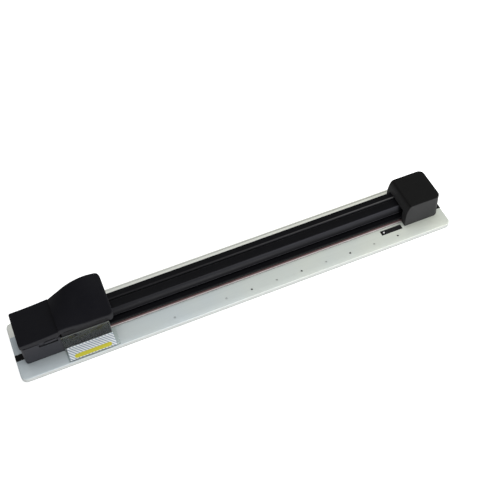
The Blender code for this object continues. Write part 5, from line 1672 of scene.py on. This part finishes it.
def smooth_table(places: Sequence[float], values: Sequence[float], place: float) -> float:
    """Read a table at one place, along a smooth curve through its points.

    Args:
        places: Where the table has values.
        values: The values there.
        place: Where it is read.

    Returns:
        The value on the curve.
    """
    last = len(places) - 1
    index = max(i for i in range(last) if places[i] <= place or i == 0)
    width = places[index + 1] - places[index]
    share = share_along(place, places[index], places[index + 1])

    def slope(i: int) -> float:
        """Slope of the curve at one of the table's points."""
        before, after = max(i - 1, 0), min(i + 1, last)
        return (values[after] - values[before]) / (places[after] - places[before])

    square, cube = share ** 2, share ** 3
    return ((2 * cube - 3 * square + 1) * values[index] + (cube - 2 * square + share) * width
            * slope(index) + (3 * square - 2 * cube) * values[index + 1]
            + (cube - square) * width * slope(index + 1))


@dataclass
class LeftEnd:
    """Lower block with a shallow recess, and the black cover over it."""

    corner_radius: float = 0.0050
    wall: float = 0.0024
    outer_reach: float = 0.0018
    seam_reach: float = 0.0002
    rim_lift: float = 0.0024
    split_gap: float = 0.0034
    side_gap: float = 0.0003
    recess_x: Span = (-0.2845, -0.2585)
    recess_bottom: float = 0.0270
    recess_depth: float = 0.0019
    tab_x: Span = (-0.2765, -0.2600)
    tab_z: Span = (0.0286, 0.0326)
    tab_tilt: float = 0.0008
    tab_set_back: float = 0.0004
    block_edge: float = 0.0005
    neck_corner: float = 0.0069
    room_corner: float = 0.0050
    recess_corner: float = 0.0010
    tab_sink: float = 0.0002
    tab_edge: float = 0.0004
    cover_wall: float = 0.0016
    cover_edge: float = 0.0016
    cover_corner: float = 0.0026
    cover_end_edge: float = 0.0014
    boss_radius: float = 0.0034
    boss_length: float = 0.0130
    thread_middle: float = 0.0036
    thread_length: float = 0.0094
    outer_rises: Span = (0.0095, 0.0120)
    seam_rises: Span = (0.0125, 0.0149)
    rise_power: float = 2.2
    sections: int = 16
    rim_x: tuple[float, ...] = (-0.3100, -0.2700, -0.2640, -0.2600, -0.2550)
    rim_rises: tuple[float, ...] = (0.0, 0.0, 0.0004, 0.0010, 0.0022)

    def build(self, finishes: Finishes) -> None:
        """Build the block and its cover.

        Args:
            finishes: The trimmer's finishes.
        """
        cover_low, cover_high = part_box("left_end_cover")
        cover_low = cover_low + Vector((-self.outer_reach, 0.0, self.rim_lift))
        cover_high = cover_high + Vector((self.seam_reach, 0.0, 0.0))
        self.build_block(finishes.body_plastic, cover_low, cover_high)
        self.build_cover(finishes.top_plastic, cover_low, cover_high)

    def build_block(self, material: Material, cover_low: Vector, cover_high: Vector) -> None:
        """Shape the lower block: rounded corners, a neck, a hollow, a recess and a window.

        Args:
            material: The block's material.
            cover_low: Lowest corner of the cover.
            cover_high: Highest corner of the cover.
        """
        low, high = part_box("left_end_block")
        low.x -= self.outer_reach
        split = cover_low.z - self.split_gap
        body = block("left_block", (low.x, high.x), (low.y, high.y), (low.z, split))
        round_edges(body, self.corner_radius, 12, upright_near(low.x))
        on_floor, on_top = at_or_under(low.z), at_or_over(split)
        round_edges(body, self.block_edge, 3, lambda a, b: on_floor(a, b) or on_top(a, b))
        inset = self.cover_wall + self.side_gap
        neck = block("left_neck", (cover_low.x + inset, cover_high.x - inset),
                     (cover_low.y + inset, cover_high.y - inset),
                     (split - OVER, high.z + self.rim_lift / 2))
        round_edges(neck, self.neck_corner, 10, upright_near(cover_low.x))
        weld(body, neck)
        room = block("left_room",
                     (cover_low.x + inset + self.wall, cover_high.x - inset - self.wall),
                     (low.y + self.wall, cover_high.y - inset - self.wall),
                     (low.z - OVER, split - self.wall))
        round_edges(room, self.room_corner, 6, upright_near(low.x))
        boss_z, thread_z = low.z + self.boss_length / 2, low.z + self.thread_middle
        bosses = [rod("left_boss", Axis.UPRIGHT, (x, SHELL_SCREW_Y, boss_z), self.boss_radius,
                      self.boss_length, 32) for x in LEFT_SHELL_SCREW_X]
        threads = [rod("left_thread", Axis.UPRIGHT, (x, SHELL_SCREW_Y, thread_z), HOLE_RADIUS,
                       self.thread_length, HOLE_SIDES) for x in LEFT_SHELL_SCREW_X]
        carve(room, gather("left_bosses", bosses))
        window = block("left_window", (high.x - inset - self.wall - OVER, high.x + OVER),
                       WINDOW_Y, (low.z - OVER, above_base(WINDOW_TOP)))
        recess = block("left_recess", self.recess_x, (low.y - OVER, low.y + self.recess_depth),
                       (above_base(self.recess_bottom), split + OVER))
        round_edges(recess, self.recess_corner, 4,
                    lambda a, b: abs(a.y - b.y) > NEAR and max(a.z, b.z) < split)
        carve(body, room, gather("left_threads", threads), window, recess)
        tab = block("left_tab", self.tab_x,
                    (low.y + self.tab_set_back, low.y + self.wall - self.tab_sink),
                    tuple(above_base(height) for height in self.tab_z))
        pick(tab, Pick.VERTICES, lambda co, _: co.x > self.tab_x[1] - NEAR)
        bpy.ops.transform.translate(value=(0.0, 0.0, self.tab_tilt))
        let_go()
        round_edges(tab, self.tab_edge, 3,
                    lambda a, b: max(a.y, b.y) < low.y + self.tab_set_back + NEAR)
        weld(body, tab)
        present(body, material, Body.BASE, Slot.GREY_PLASTIC, "left_end_block")

    def build_cover(self, material: Material, low: Vector, high: Vector) -> None:
        """Shape the cover, which rises towards the seam.

        Args:
            material: The cover's material.
            low: Lowest corner of the cover.
            high: Highest corner of the cover.
        """
        start = low.z - self.rim_lift

        def top_line(side: int) -> Callable[[float], float]:
            """Make the line that one long edge of the top follows.

            Args:
                side: 0 for the front edge, 1 for the back edge.

            Returns:
                The line: the edge's height at a place along X.
            """
            outer, seam = self.outer_rises[side], self.seam_rises[side]
            return lambda x: (start + outer + (seam - outer)
                              * share_along(x, low.x, high.x) ** self.rise_power)

        hood = Hood((low.x, high.x), (low.y, high.y), low.z, top_line(0), top_line(1),
                    back_edge=self.cover_edge, corners=(self.cover_corner, 0.0),
                    end_edges=(self.cover_end_edge, 0.0),
                    front_rim=lambda x: smooth_table(self.rim_x, self.rim_rises, x))
        cover = give_wall(hood.skin("left_cover", self.sections), self.cover_wall)
        present(cover, material, Body.BASE, Slot.BLACK_PLASTIC, "left_end_cover")


@dataclass
class RightEnd:
    """One-piece cap with a long quarter-round shoulder on its rail side."""

    slope_length: float = 0.0092
    slope_height: float = 0.0275
    edge_radius: float = 0.0012
    corner_radius: float = 0.0088
    wall: float = 0.0024
    slope_steps: int = 16

    def section(self, x: float, low: Vector, high: Vector) -> list[Place]:
        """Draw the section at one place.

        Args:
            x: Place along the cap.
            low: Lowest corner of the cap.
            high: Highest corner of the cap.

        Returns:
            The points, from the front rim over the top to the back rim.
        """
        share = 1.0 - share_along(x, low.x, low.x + self.slope_length)
        fall = self.slope_height * (1.0 - math.sqrt(max(1.0 - share ** 2, 0.0)))
        inset = Hood.round_off(high.x - x, self.corner_radius)
        drop = Hood.round_off(high.x - x, self.edge_radius)
        front, back, height = low.y + inset, high.y - inset, high.z - fall - drop
        edge = self.edge_radius
        across = [(front, low.z)] + circle_arc((front + edge, height - edge), edge, 0.5, 0.25, 8)
        across += circle_arc((back - edge, height - edge), edge, 0.25, 0.0, 8) + [(back, low.z)]
        return [(x, y, z) for y, z in across]

    def build(self, finishes: Finishes) -> None:
        """Build the cap.

        Args:
            finishes: The trimmer's finishes.
        """
        low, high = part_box("right_end_cap")
        turns = [step / self.slope_steps * math.pi / 2 for step in range(self.slope_steps + 1)]
        places = [low.x + self.slope_length * (1 - math.cos(turn)) for turn in turns]
        places += [(places[-1] + high.x - self.corner_radius) / 2]
        places += [high.x - self.corner_radius * (1 - math.cos(turn)) for turn in turns[::-1]]
        cap = loft("right_cap", [self.section(x, low, high) for x in places])
        give_wall(cap, self.wall)
        carve(cap, block("right_window", (low.x - OVER, low.x + self.slope_length), WINDOW_Y,
                         (low.z - OVER, above_base(WINDOW_TOP))))
        present(cap, finishes.cap_plastic, Body.BASE, Slot.BLACK_PLASTIC, "right_end_cap")


@dataclass
class CutterHead:
    """Chassis that straddles the rail, with its shoes and its clear finger guard."""

    wall: float = 0.0024
    corner_radius: float = 0.0024
    skirt_top: float = 0.0299
    skirt_edge: float = 0.0003
    neck_corner: float = 0.0062
    tray_corner: float = 0.0042
    neck_x: Span = (-0.2524, -0.1825)
    neck_y: Span = (-0.0248, 0.0265)
    deck_top: float = 0.0289
    tunnel: tuple[tuple[float, float], ...] = (
        (-0.0168, 0.0017), (0.0193, 0.0017), (0.0193, 0.0046), (0.0241, 0.0046),
        (0.0241, 0.0255), (-0.0086, 0.0255), (-0.0086, 0.0098), (-0.0168, 0.0098))
    bay_x: Span = (-0.2460, -0.1891)
    bay_y: Span = (-0.0234, -0.0086)
    apron_y: Span = (-0.0248, -0.0228)
    aprons: tuple[tuple[float, float, float], ...] = (
        (-0.2524, -0.2050, 0.0370), (-0.2060, -0.1884, 0.0354))
    screen_end: float = -0.1887
    screen_tops: Span = (0.0384, 0.0400)
    notch: Span = (-0.1882, -0.0085)
    upright_end: float = -0.1886
    flat_end: float = -0.1827
    flat_back: float = -0.0190
    guard_thickness: float = 0.0012
    guard_bend: float = 0.0014
    guard_corner: float = 0.0012
    guard_edge: float = 0.00012
    guard_edge_angle: float = math.radians(50)
    sawn_width: float = 0.0006
    sawn_lift: float = 0.00003
    screw_height: float = 0.0268
    screw_x: float = -0.2356
    screw_hole_radius: float = 0.0013
    screw_hole_length: float = 0.0060
    tongue_overlap: float = 0.0040
    bay_drop: float = 0.0013
    pan_thickness: float = 0.0010
    pan_edge: float = 0.0006
    shank_radius: float = 0.0010
    cross_half: Span = (0.0011, 0.00025)
    cross_depth: float = 0.0005
    print_lift: float = 0.00006
    print_x: Span = (-0.2524, -0.1880)
    print_front: float = -0.0472

    def build(self, finishes: Finishes) -> None:
        """Build the chassis, the guard, its screw and its print, and dress the shoes.

        Args:
            finishes: The trimmer's finishes.
        """
        self.build_chassis(finishes.shaded_chassis_plastic)
        self.build_guard(finishes.clear)
        self.build_sawn_edge(finishes.frosted)
        self.build_print(finishes.print)
        self.build_guard_screw(finishes.dark_steel)
        dress_nodes(finishes.white_plastic, "glide_shoe_left", "glide_shoe_right")
        dress_nodes(finishes.steel, "press_post_left", "press_post_right")

    def build_chassis(self, material: Material) -> None:
        """Shape the chassis: skirt, neck, tunnel, blade bay, tray, notch, aprons and screens.

        Args:
            material: The chassis's material.
        """
        low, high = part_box("head_chassis")
        skirt_top = above_base(self.skirt_top)
        body = block("head_body", (low.x, high.x), (low.y, high.y), (low.z, skirt_top))
        round_edges(body, self.corner_radius, 8, upright_near(high.x))
        round_edges(body, self.skirt_edge, 2, at_or_over(skirt_top))
        neck = block("head_neck", self.neck_x, self.neck_y, (skirt_top - OVER, high.z))
        round_edges(neck, self.neck_corner, 8, upright_near(high.x))
        weld(body, neck)
        tunnel = bar("head_tunnel", [(y, above_base(z)) for y, z in self.tunnel],
                     (low.x - OVER, high.x + OVER))
        bay = block("blade_bay", self.bay_x, self.bay_y, (low.z - self.bay_drop, high.z + OVER))
        tray = block("head_tray", (self.neck_x[0] + self.wall, self.neck_x[1] - self.wall),
                     (low.y + self.wall, self.neck_y[1] - self.wall),
                     (above_base(self.deck_top), high.z + OVER))
        round_edges(tray, self.tray_corner, 6, upright_near(high.x))
        thread = self.screw_hole("guard_thread", low.y)
        notch = block("head_notch", (self.notch[0], high.x + OVER),
                      (low.y - OVER, self.notch[1]), (low.z - OVER, high.z + OVER))
        carve(body, tunnel, bay, tray, thread, notch)
        self.add_walls(body, high.z)
        present(body, material, Body.HEAD, Slot.GREY_PLASTIC, "head_chassis")

    def add_walls(self, body: Object, top: float) -> None:
        """Weld on the aprons and screens that close the view between cover and chassis.

        Args:
            body: The chassis.
            top: Height of its top.
        """
        deck = above_base(self.deck_top) - OVER
        walls = [("head_apron", (start, end), self.apron_y, above_base(rise))
                 for start, end, rise in self.aprons]
        walls += [
            ("notch_side", (self.bay_x[1], self.notch[0]),
             (self.apron_y[1] - OVER, self.notch[1] + OVER), top),
            ("notch_back", (self.bay_x[1], self.neck_x[1] - self.wall + OVER),
             (self.notch[1], self.notch[1] + self.wall), top),
            ("left_screen", (self.neck_x[0], self.neck_x[0] + self.wall), self.neck_y,
             above_base(self.screen_tops[0])),
            ("back_screen", (self.neck_x[0], self.screen_end),
             (self.neck_y[1] - self.wall, self.neck_y[1]), above_base(self.screen_tops[1]))]
        weld(body, *[block(name, x, y, (deck, rise)) for name, x, y, rise in walls])

    def screw_hole(self, name: str, y: float) -> Object:
        """Make the cutter for the guard screw's hole.

        Args:
            name: Its name.
            y: Middle of the hole.

        Returns:
            The cutter.
        """
        return rod(name, Axis.DEPTH, (self.screw_x, y, above_base(self.screw_height)),
                   self.screw_hole_radius, self.screw_hole_length, HOLE_SIDES)

    def guard_profile(self, low: Vector, high: Vector, lift: float) -> Outline:
        """Draw the guard's paper-side face, from the front edge up round the bend.

        Args:
            low: Lowest corner of the guard.
            high: Highest corner of the guard.
            lift: How far the line stands off the face.

        Returns:
            The points (y, z).
        """
        front_face = high.y - self.guard_thickness - lift
        flat_top = low.z + self.guard_thickness + lift
        radius = self.guard_bend - lift
        bend = circle_arc((front_face - radius, flat_top + radius), radius, 0.75, 1.0)
        return [(low.y, flat_top), *bend, (front_face, high.z)]

    def build_guard(self, material: Material) -> None:
        """Bend the clear sheet: upright in front of the chassis, then flat over the base.

        Args:
            material: The guard's material.
        """
        low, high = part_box("finger_guard")
        outer = self.guard_bend + self.guard_thickness
        outline = [(high.y, high.z)]
        outline += circle_arc((high.y - outer, low.z + outer), outer, 1.0, 0.75, 12)
        outline += [(low.y, low.z), *self.guard_profile(low, high, 0.0)]
        guard = bar("clear_guard", outline, (low.x, self.upright_end))
        tongue = block("guard_tongue", (self.upright_end - self.tongue_overlap, self.flat_end),
                       (low.y, self.flat_back), (low.z, low.z + self.guard_thickness))
        weld(guard, tongue)
        round_edges(guard, self.guard_corner, 5,
                    lambda a, b: upright_edge(a, b) and a.y < low.y + 10 * NEAR)
        carve(guard, self.screw_hole("guard_hole", high.y))
        soften(guard, self.guard_edge, 2, self.guard_edge_angle)
        guard.visible_shadow = False
        guard.visible_diffuse = False
        present(guard, material, Body.HEAD, Slot.CLEAR_PLASTIC, "finger_guard")

    def build_sawn_edge(self, material: Material) -> None:
        """Run the frosted sawn edge along the guard's top and down its free side.

        Args:
            material: The sawn edge's material.
        """
        low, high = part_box("finger_guard")
        sheet = (high.y - self.guard_thickness - self.sawn_lift, high.y - self.sawn_lift)
        end, top = self.upright_end + self.sawn_lift, high.z + self.sawn_lift
        edge = block("sawn_edge", (low.x + self.sawn_lift, end), sheet,
                     (high.z - self.sawn_width, top))
        side = block("sawn_side", (self.upright_end - self.sawn_width, end), sheet,
                     (low.z + self.guard_bend * 2, top))
        weld(edge, side)
        present(edge, material, Body.HEAD, Slot.CLEAR_PLASTIC)

    def build_print(self, material: Material) -> None:
        """Lay the thin print over the flat of the guard and a little way up its bend.

        Args:
            material: The print's material.
        """
        low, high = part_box("finger_guard")
        under = self.guard_profile(low, high, self.print_lift)[1:8]
        over = self.guard_profile(low, high, self.print_lift * 2)[1:8]
        under = [(self.print_front, under[0][1]), *under]
        over = [(self.print_front, over[0][1]), *over]
        sheet = bar("guard_print", under + over[::-1], self.print_x)
        present(sheet, material, Body.HEAD, Slot.WHITE_PLASTIC)

    def build_guard_screw(self, material: Material) -> None:
        """Shape the guard's small domed screw with a cross in its head.

        Args:
            material: The screw's material.
        """
        low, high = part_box("guard_screw")
        z = above_base(self.screw_height)
        head = rod("guard_pan_screw", Axis.DEPTH, (self.screw_x, low.y + self.pan_thickness / 2, z),
                   (high.x - low.x) / 2, self.pan_thickness, 40)
        round_edges(head, self.pan_edge, 4, lambda a, b: max(a.y, b.y) < low.y + NEAR)
        deep = self.cross_depth
        weld(head, rod("guard_shank", Axis.DEPTH, (self.screw_x, (low.y + deep + high.y) / 2, z),
                       self.shank_radius, high.y - low.y - deep, HOLE_SIDES))
        for wide, tall in (self.cross_half, self.cross_half[::-1]):
            carve(head, block("cross", (self.screw_x - wide, self.screw_x + wide),
                              (low.y - deep, low.y + deep), (z - tall, z + tall)))
        present(head, material, Body.HEAD, Slot.STEEL, "guard_screw")


@dataclass
class Handle:
    """Palm-shaped cover that is pressed down to cut."""

    places: tuple[float, ...] = (0.0, 0.09, 0.20, 0.335, 0.485, 0.61, 0.74, 0.85, 1.0)
    back_shares: tuple[float, ...] = (0.0, 0.19, 0.40, 0.67, 0.87, 0.965, 1.0, 0.96, 0.86)
    front_shares: tuple[float, ...] = (1.0, 1.03, 0.955, 0.70, 0.45, 0.405, 0.34, 0.26, 0.20)
    back_rises: Span = (0.0149, 0.0379)
    front_rises: Span = (0.0062, 0.0141)
    crown: float = 0.00395
    front_edge: float = 0.0020
    back_edge: float = 0.0042
    corners: Span = (0.0004, 0.0060)
    end_edges: Span = (0.0, 0.0026)
    wall: float = 0.0020
    rim_x: tuple[float, ...] = (-0.2547, -0.2500, -0.2460, -0.2380, -0.2340, -0.2300, -0.2260,
                                -0.1895, -0.1872, -0.1840, -0.1802)
    rim_rises: tuple[float, ...] = (0.0054, 0.0069, 0.0074, 0.0074, 0.0066, 0.0052, 0.0047,
                                    0.0047, -0.0012, -0.0018, 0.0)
    back_rim_rises: Span = (0.0034, 0.0010)
    sections: int = 44

    def build(self, finishes: Finishes) -> None:
        """Build the cover and dress what works under it.

        Args:
            finishes: The trimmer's finishes.
        """
        low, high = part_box("head_cover")

        def line(shares: tuple[float, ...], rises: Span) -> Callable[[float], float]:
            """Make the line that one long edge of the top follows.

            Args:
                shares: How much of its rise the line has made at each of the table's places.
                rises: Its lowest and highest rise over the rim.

            Returns:
                The line: the edge's height at a place along X.
            """
            return lambda x: (low.z + rises[0] + (rises[1] - rises[0]) * smooth_table(
                self.places, shares, share_along(x, low.x, high.x)))

        start, end = self.back_rim_rises
        hood = Hood((low.x, high.x), (low.y, high.y), low.z,
                    line(self.front_shares, self.front_rises),
                    line(self.back_shares, self.back_rises),
                    crown=self.crown, front_edge=self.front_edge, back_edge=self.back_edge,
                    corners=self.corners, end_edges=self.end_edges,
                    front_rim=lambda x: smooth_table(self.rim_x, self.rim_rises, x),
                    back_rim=lambda x: start + (end - start) * share_along(x, low.x, high.x))
        cover = give_wall(hood.skin("palm_cover", self.sections), self.wall)
        present(cover, finishes.top_plastic, Body.HANDLE, Slot.BLACK_PLASTIC, "head_cover")
        dress_nodes(finishes.inner_plastic, "blade_carrier")
        dress_nodes(finishes.steel, "carrier_screw_left", "carrier_screw_right", "blade_axle",
                    "axle_clip", "roller_axle_left", "roller_axle_right")
        dress_nodes(finishes.spring_steel, "press_spring_left", "press_spring_right")
        let_shorten("handle_press", "press_spring_left", "press_spring_right")


@dataclass
class BladeGroup:
    """Round blade with its hub, cap and bush, and the two rollers that press the clamp."""

    def build(self, finishes: Finishes) -> None:
        """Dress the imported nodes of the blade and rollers, which keep their shape.

        Args:
            finishes: The trimmer's finishes.
        """
        dress_nodes(finishes.blade_steel, "cutter_blade")
        dress_nodes(finishes.inner_plastic, "blade_hub", "hub_cap")
        dress_nodes(finishes.bronze, "blade_bush")
        dress_nodes(finishes.white_plastic, "press_roller_left", "press_roller_right")


@dataclass
class BaseScrews:
    """Socket screws whose heads sit in the channels under the base."""

    head_height: float = 0.0022
    head_edge: float = 0.00035
    shank_radius: float = 0.0016
    socket_radius: float = 0.0014
    socket_depth: float = 0.0012
    socket_sides: int = 6
    point_share: float = 0.5

    def build(self, finishes: Finishes) -> None:
        """Build each screw.

        Args:
            finishes: The trimmer's finishes.
        """
        ends = ("rail_screw_left_outer", "rail_screw_left_inner", "rail_screw_right_inner",
                "rail_screw_right_outer")
        shells = [f"shell_screw_{side}_{number}" for side in ("left", "right") for number in (1, 2)]
        for name in (*ends, *shells):
            self.build_screw(name, finishes.steel)

    def build_screw(self, name: str, material: Material) -> None:
        """Shape one screw: a rounded head, a six-sided socket and a shank with a point.

        Args:
            name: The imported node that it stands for.
            material: The screw's material.
        """
        low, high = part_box(name)
        x, y = (low.x + high.x) / 2, (low.y + high.y) / 2
        screw = rod(f"{name}_socket", Axis.UPRIGHT, (x, y, low.z + self.head_height / 2),
                    (high.x - low.x) / 2, self.head_height, 40)
        round_edges(screw, self.head_edge, 3, at_or_under(low.z))
        length = high.z - low.z - self.head_height
        pick(screw, Pick.FACES, lambda _, normal: normal.z > LEVEL)
        bpy.ops.mesh.inset(thickness=(high.x - low.x) / 2 - self.shank_radius)
        for step in (length - self.shank_radius / 2, self.shank_radius / 2):
            extrude(0.0, 0.0, step)
        bpy.ops.transform.resize(value=(self.point_share, self.point_share, 1.0))
        let_go()
        carve(screw, rod("socket", Axis.UPRIGHT, (x, y, low.z), self.socket_radius,
                         self.socket_depth * 2, self.socket_sides))
        present(screw, material, Body.BASE, Slot.STEEL, name)


# Studio


@dataclass(frozen=True)
class Viewpoint:
    """Where the picture is taken from."""

    place: Place = (-0.22913, -0.73394, 1.03683)
    turn: tuple[Place, Place, Place] = (
        (0.92188529, 0.33042125, -0.20235937),
        (-0.38450837, 0.7157981, -0.58291199),
        (-0.04775806, 0.61518686, 0.78693347))
    lens: float = 65.526
    sensor: float = 36.0
    clip: Span = (0.05, 30.0)

    def build(self) -> None:
        """Create the camera and make it the scene's own."""
        data = bpy.data.cameras.new("viewpoint")
        data.lens = self.lens
        data.sensor_width = self.sensor
        data.clip_start, data.clip_end = self.clip
        camera = bpy.data.objects.new("viewpoint", data)
        bpy.context.collection.objects.link(camera)
        camera.matrix_world = Matrix.Translation(self.place) @ Matrix(self.turn).to_4x4()
        bpy.context.scene.camera = camera


@dataclass(frozen=True)
class SoftLamp:
    """Large soft lamp that points at the trimmer."""

    name: str
    place: Place
    width: float
    power: float
    colour: Colour = (1.0, 1.0, 1.0)

    def build(self) -> None:
        """Create the lamp."""
        data = bpy.data.lights.new(self.name, "AREA")
        data.shape = "SQUARE"
        data.size = self.width
        data.energy = self.power
        data.color = self.colour
        lamp = bpy.data.objects.new(self.name, data)
        bpy.context.collection.objects.link(lamp)
        lamp.location = self.place
        lamp.rotation_euler = (-Vector(self.place)).to_track_quat("-Z", "Y").to_euler()


@dataclass
class Studio:
    """Plain pale floor, even surroundings, soft lamps and the camera."""

    floor_size: float = 9.0
    floor_glow: float = 0.72
    floor_albedo: float = 0.8
    sky: float = 0.30
    lamps: tuple[SoftLamp, ...] = (
        SoftLamp("front_lamp", (0.35, -2.4, 0.27), 0.5, 58.0),
        SoftLamp("side_lamp", (0.85, -0.30, 1.20), 0.9, 9.5, (1.0, 1.0, 0.96)),
        SoftLamp("top_lamp", (0.0, 0.60, 2.30), 1.2, 15.0, (0.95, 0.98, 1.0)))

    def build(self) -> None:
        """Build the floor, the world, the lamps and the camera."""
        Viewpoint().build()
        self.build_floor()
        self.build_world()
        for lamp in self.lamps:
            lamp.build()
        bpy.context.scene.view_settings.view_transform = "Standard"
        log.info("studio: %d lamps", len(self.lamps))

    def seen_straight(self, graph: Graph) -> NodeSocket:
        """Make a mask of the rays that see the background itself.

        Args:
            graph: The shader tree.

        Returns:
            One for camera, glossy and transmission rays.
        """
        path = graph.node("LightPath")
        mirrored = graph.math("MAXIMUM", path.outputs["Is Glossy Ray"],
                              path.outputs["Is Transmission Ray"])
        return graph.math("MAXIMUM", path.outputs["Is Camera Ray"], mirrored)

    def build_floor(self) -> None:
        """Build the floor: white where it is seen, with the trimmer's shadow on it."""
        let_go()
        bpy.ops.mesh.primitive_plane_add(size=self.floor_size, location=(0.0, 0.0, 0.0))
        floor = bpy.context.object
        floor.name = "pale_floor"
        material, graph, _ = new_material("pale_floor")
        tree = graph.tree
        tree.nodes.remove(tree.nodes["Principled BSDF"])
        speckle = graph.spread(graph.noise(graph.place(), 40.0, 4.0), 0.3, 0.7)
        diffuse = graph.node("BsdfDiffuse")
        pale = (self.floor_albedo,) * 3
        graph.feed(diffuse.inputs["Color"], graph.blend(speckle, scaled(pale, 0.99), pale))
        glow = graph.node("Emission")
        glow.inputs["Strength"].default_value = self.floor_glow
        lit = graph.node("AddShader")
        graph.feed(lit.inputs[0], diffuse.outputs[0])
        graph.feed(lit.inputs[1], glow.outputs[0])
        either = graph.node("MixShader")
        graph.feed(either.inputs[0], self.seen_straight(graph))
        graph.feed(either.inputs[1], diffuse.outputs[0])
        graph.feed(either.inputs[2], lit.outputs[0])
        output = next(node for node in tree.nodes if node.type == "OUTPUT_MATERIAL")
        graph.feed(output.inputs["Surface"], either.outputs[0])
        floor.data.materials.append(material)

    def build_world(self) -> None:
        """Build the surroundings: white where they are seen, a plain grey as light."""
        world = bpy.data.worlds.new("studio")
        world.use_nodes = True
        graph = Graph(world.node_tree)
        world.node_tree.nodes.clear()
        seen, light = graph.node("Background"), graph.node("Background")
        for background, strength in ((seen, 1.0), (light, self.sky)):
            graph.fill(background.inputs, {"Color": (1.0, 1.0, 1.0, 1.0), "Strength": strength})
        either = graph.node("MixShader")
        graph.feed(either.inputs[0], self.seen_straight(graph))
        graph.feed(either.inputs[1], light.outputs[0])
        graph.feed(either.inputs[2], seen.outputs[0])
        graph.feed(graph.node("OutputWorld").inputs["Surface"], either.outputs[0])
        bpy.context.scene.world = world


def main() -> None:
    """Build the studio and then each sub-assembly, in order."""
    logging.basicConfig(level=logging.INFO, format="%(name)s: %(message)s")
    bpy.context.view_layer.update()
    Studio().build()
    finishes = Finishes(Effects())
    for part in (Base(), Rail(), PaperClamp(), LeftEnd(), RightEnd(), CutterHead(), Handle(),
                 BladeGroup(), BaseScrews()):
        part.build(finishes)
        log.info("%s is ready", type(part).__name__)
    let_go()


if __name__ == "__main__":
    main()
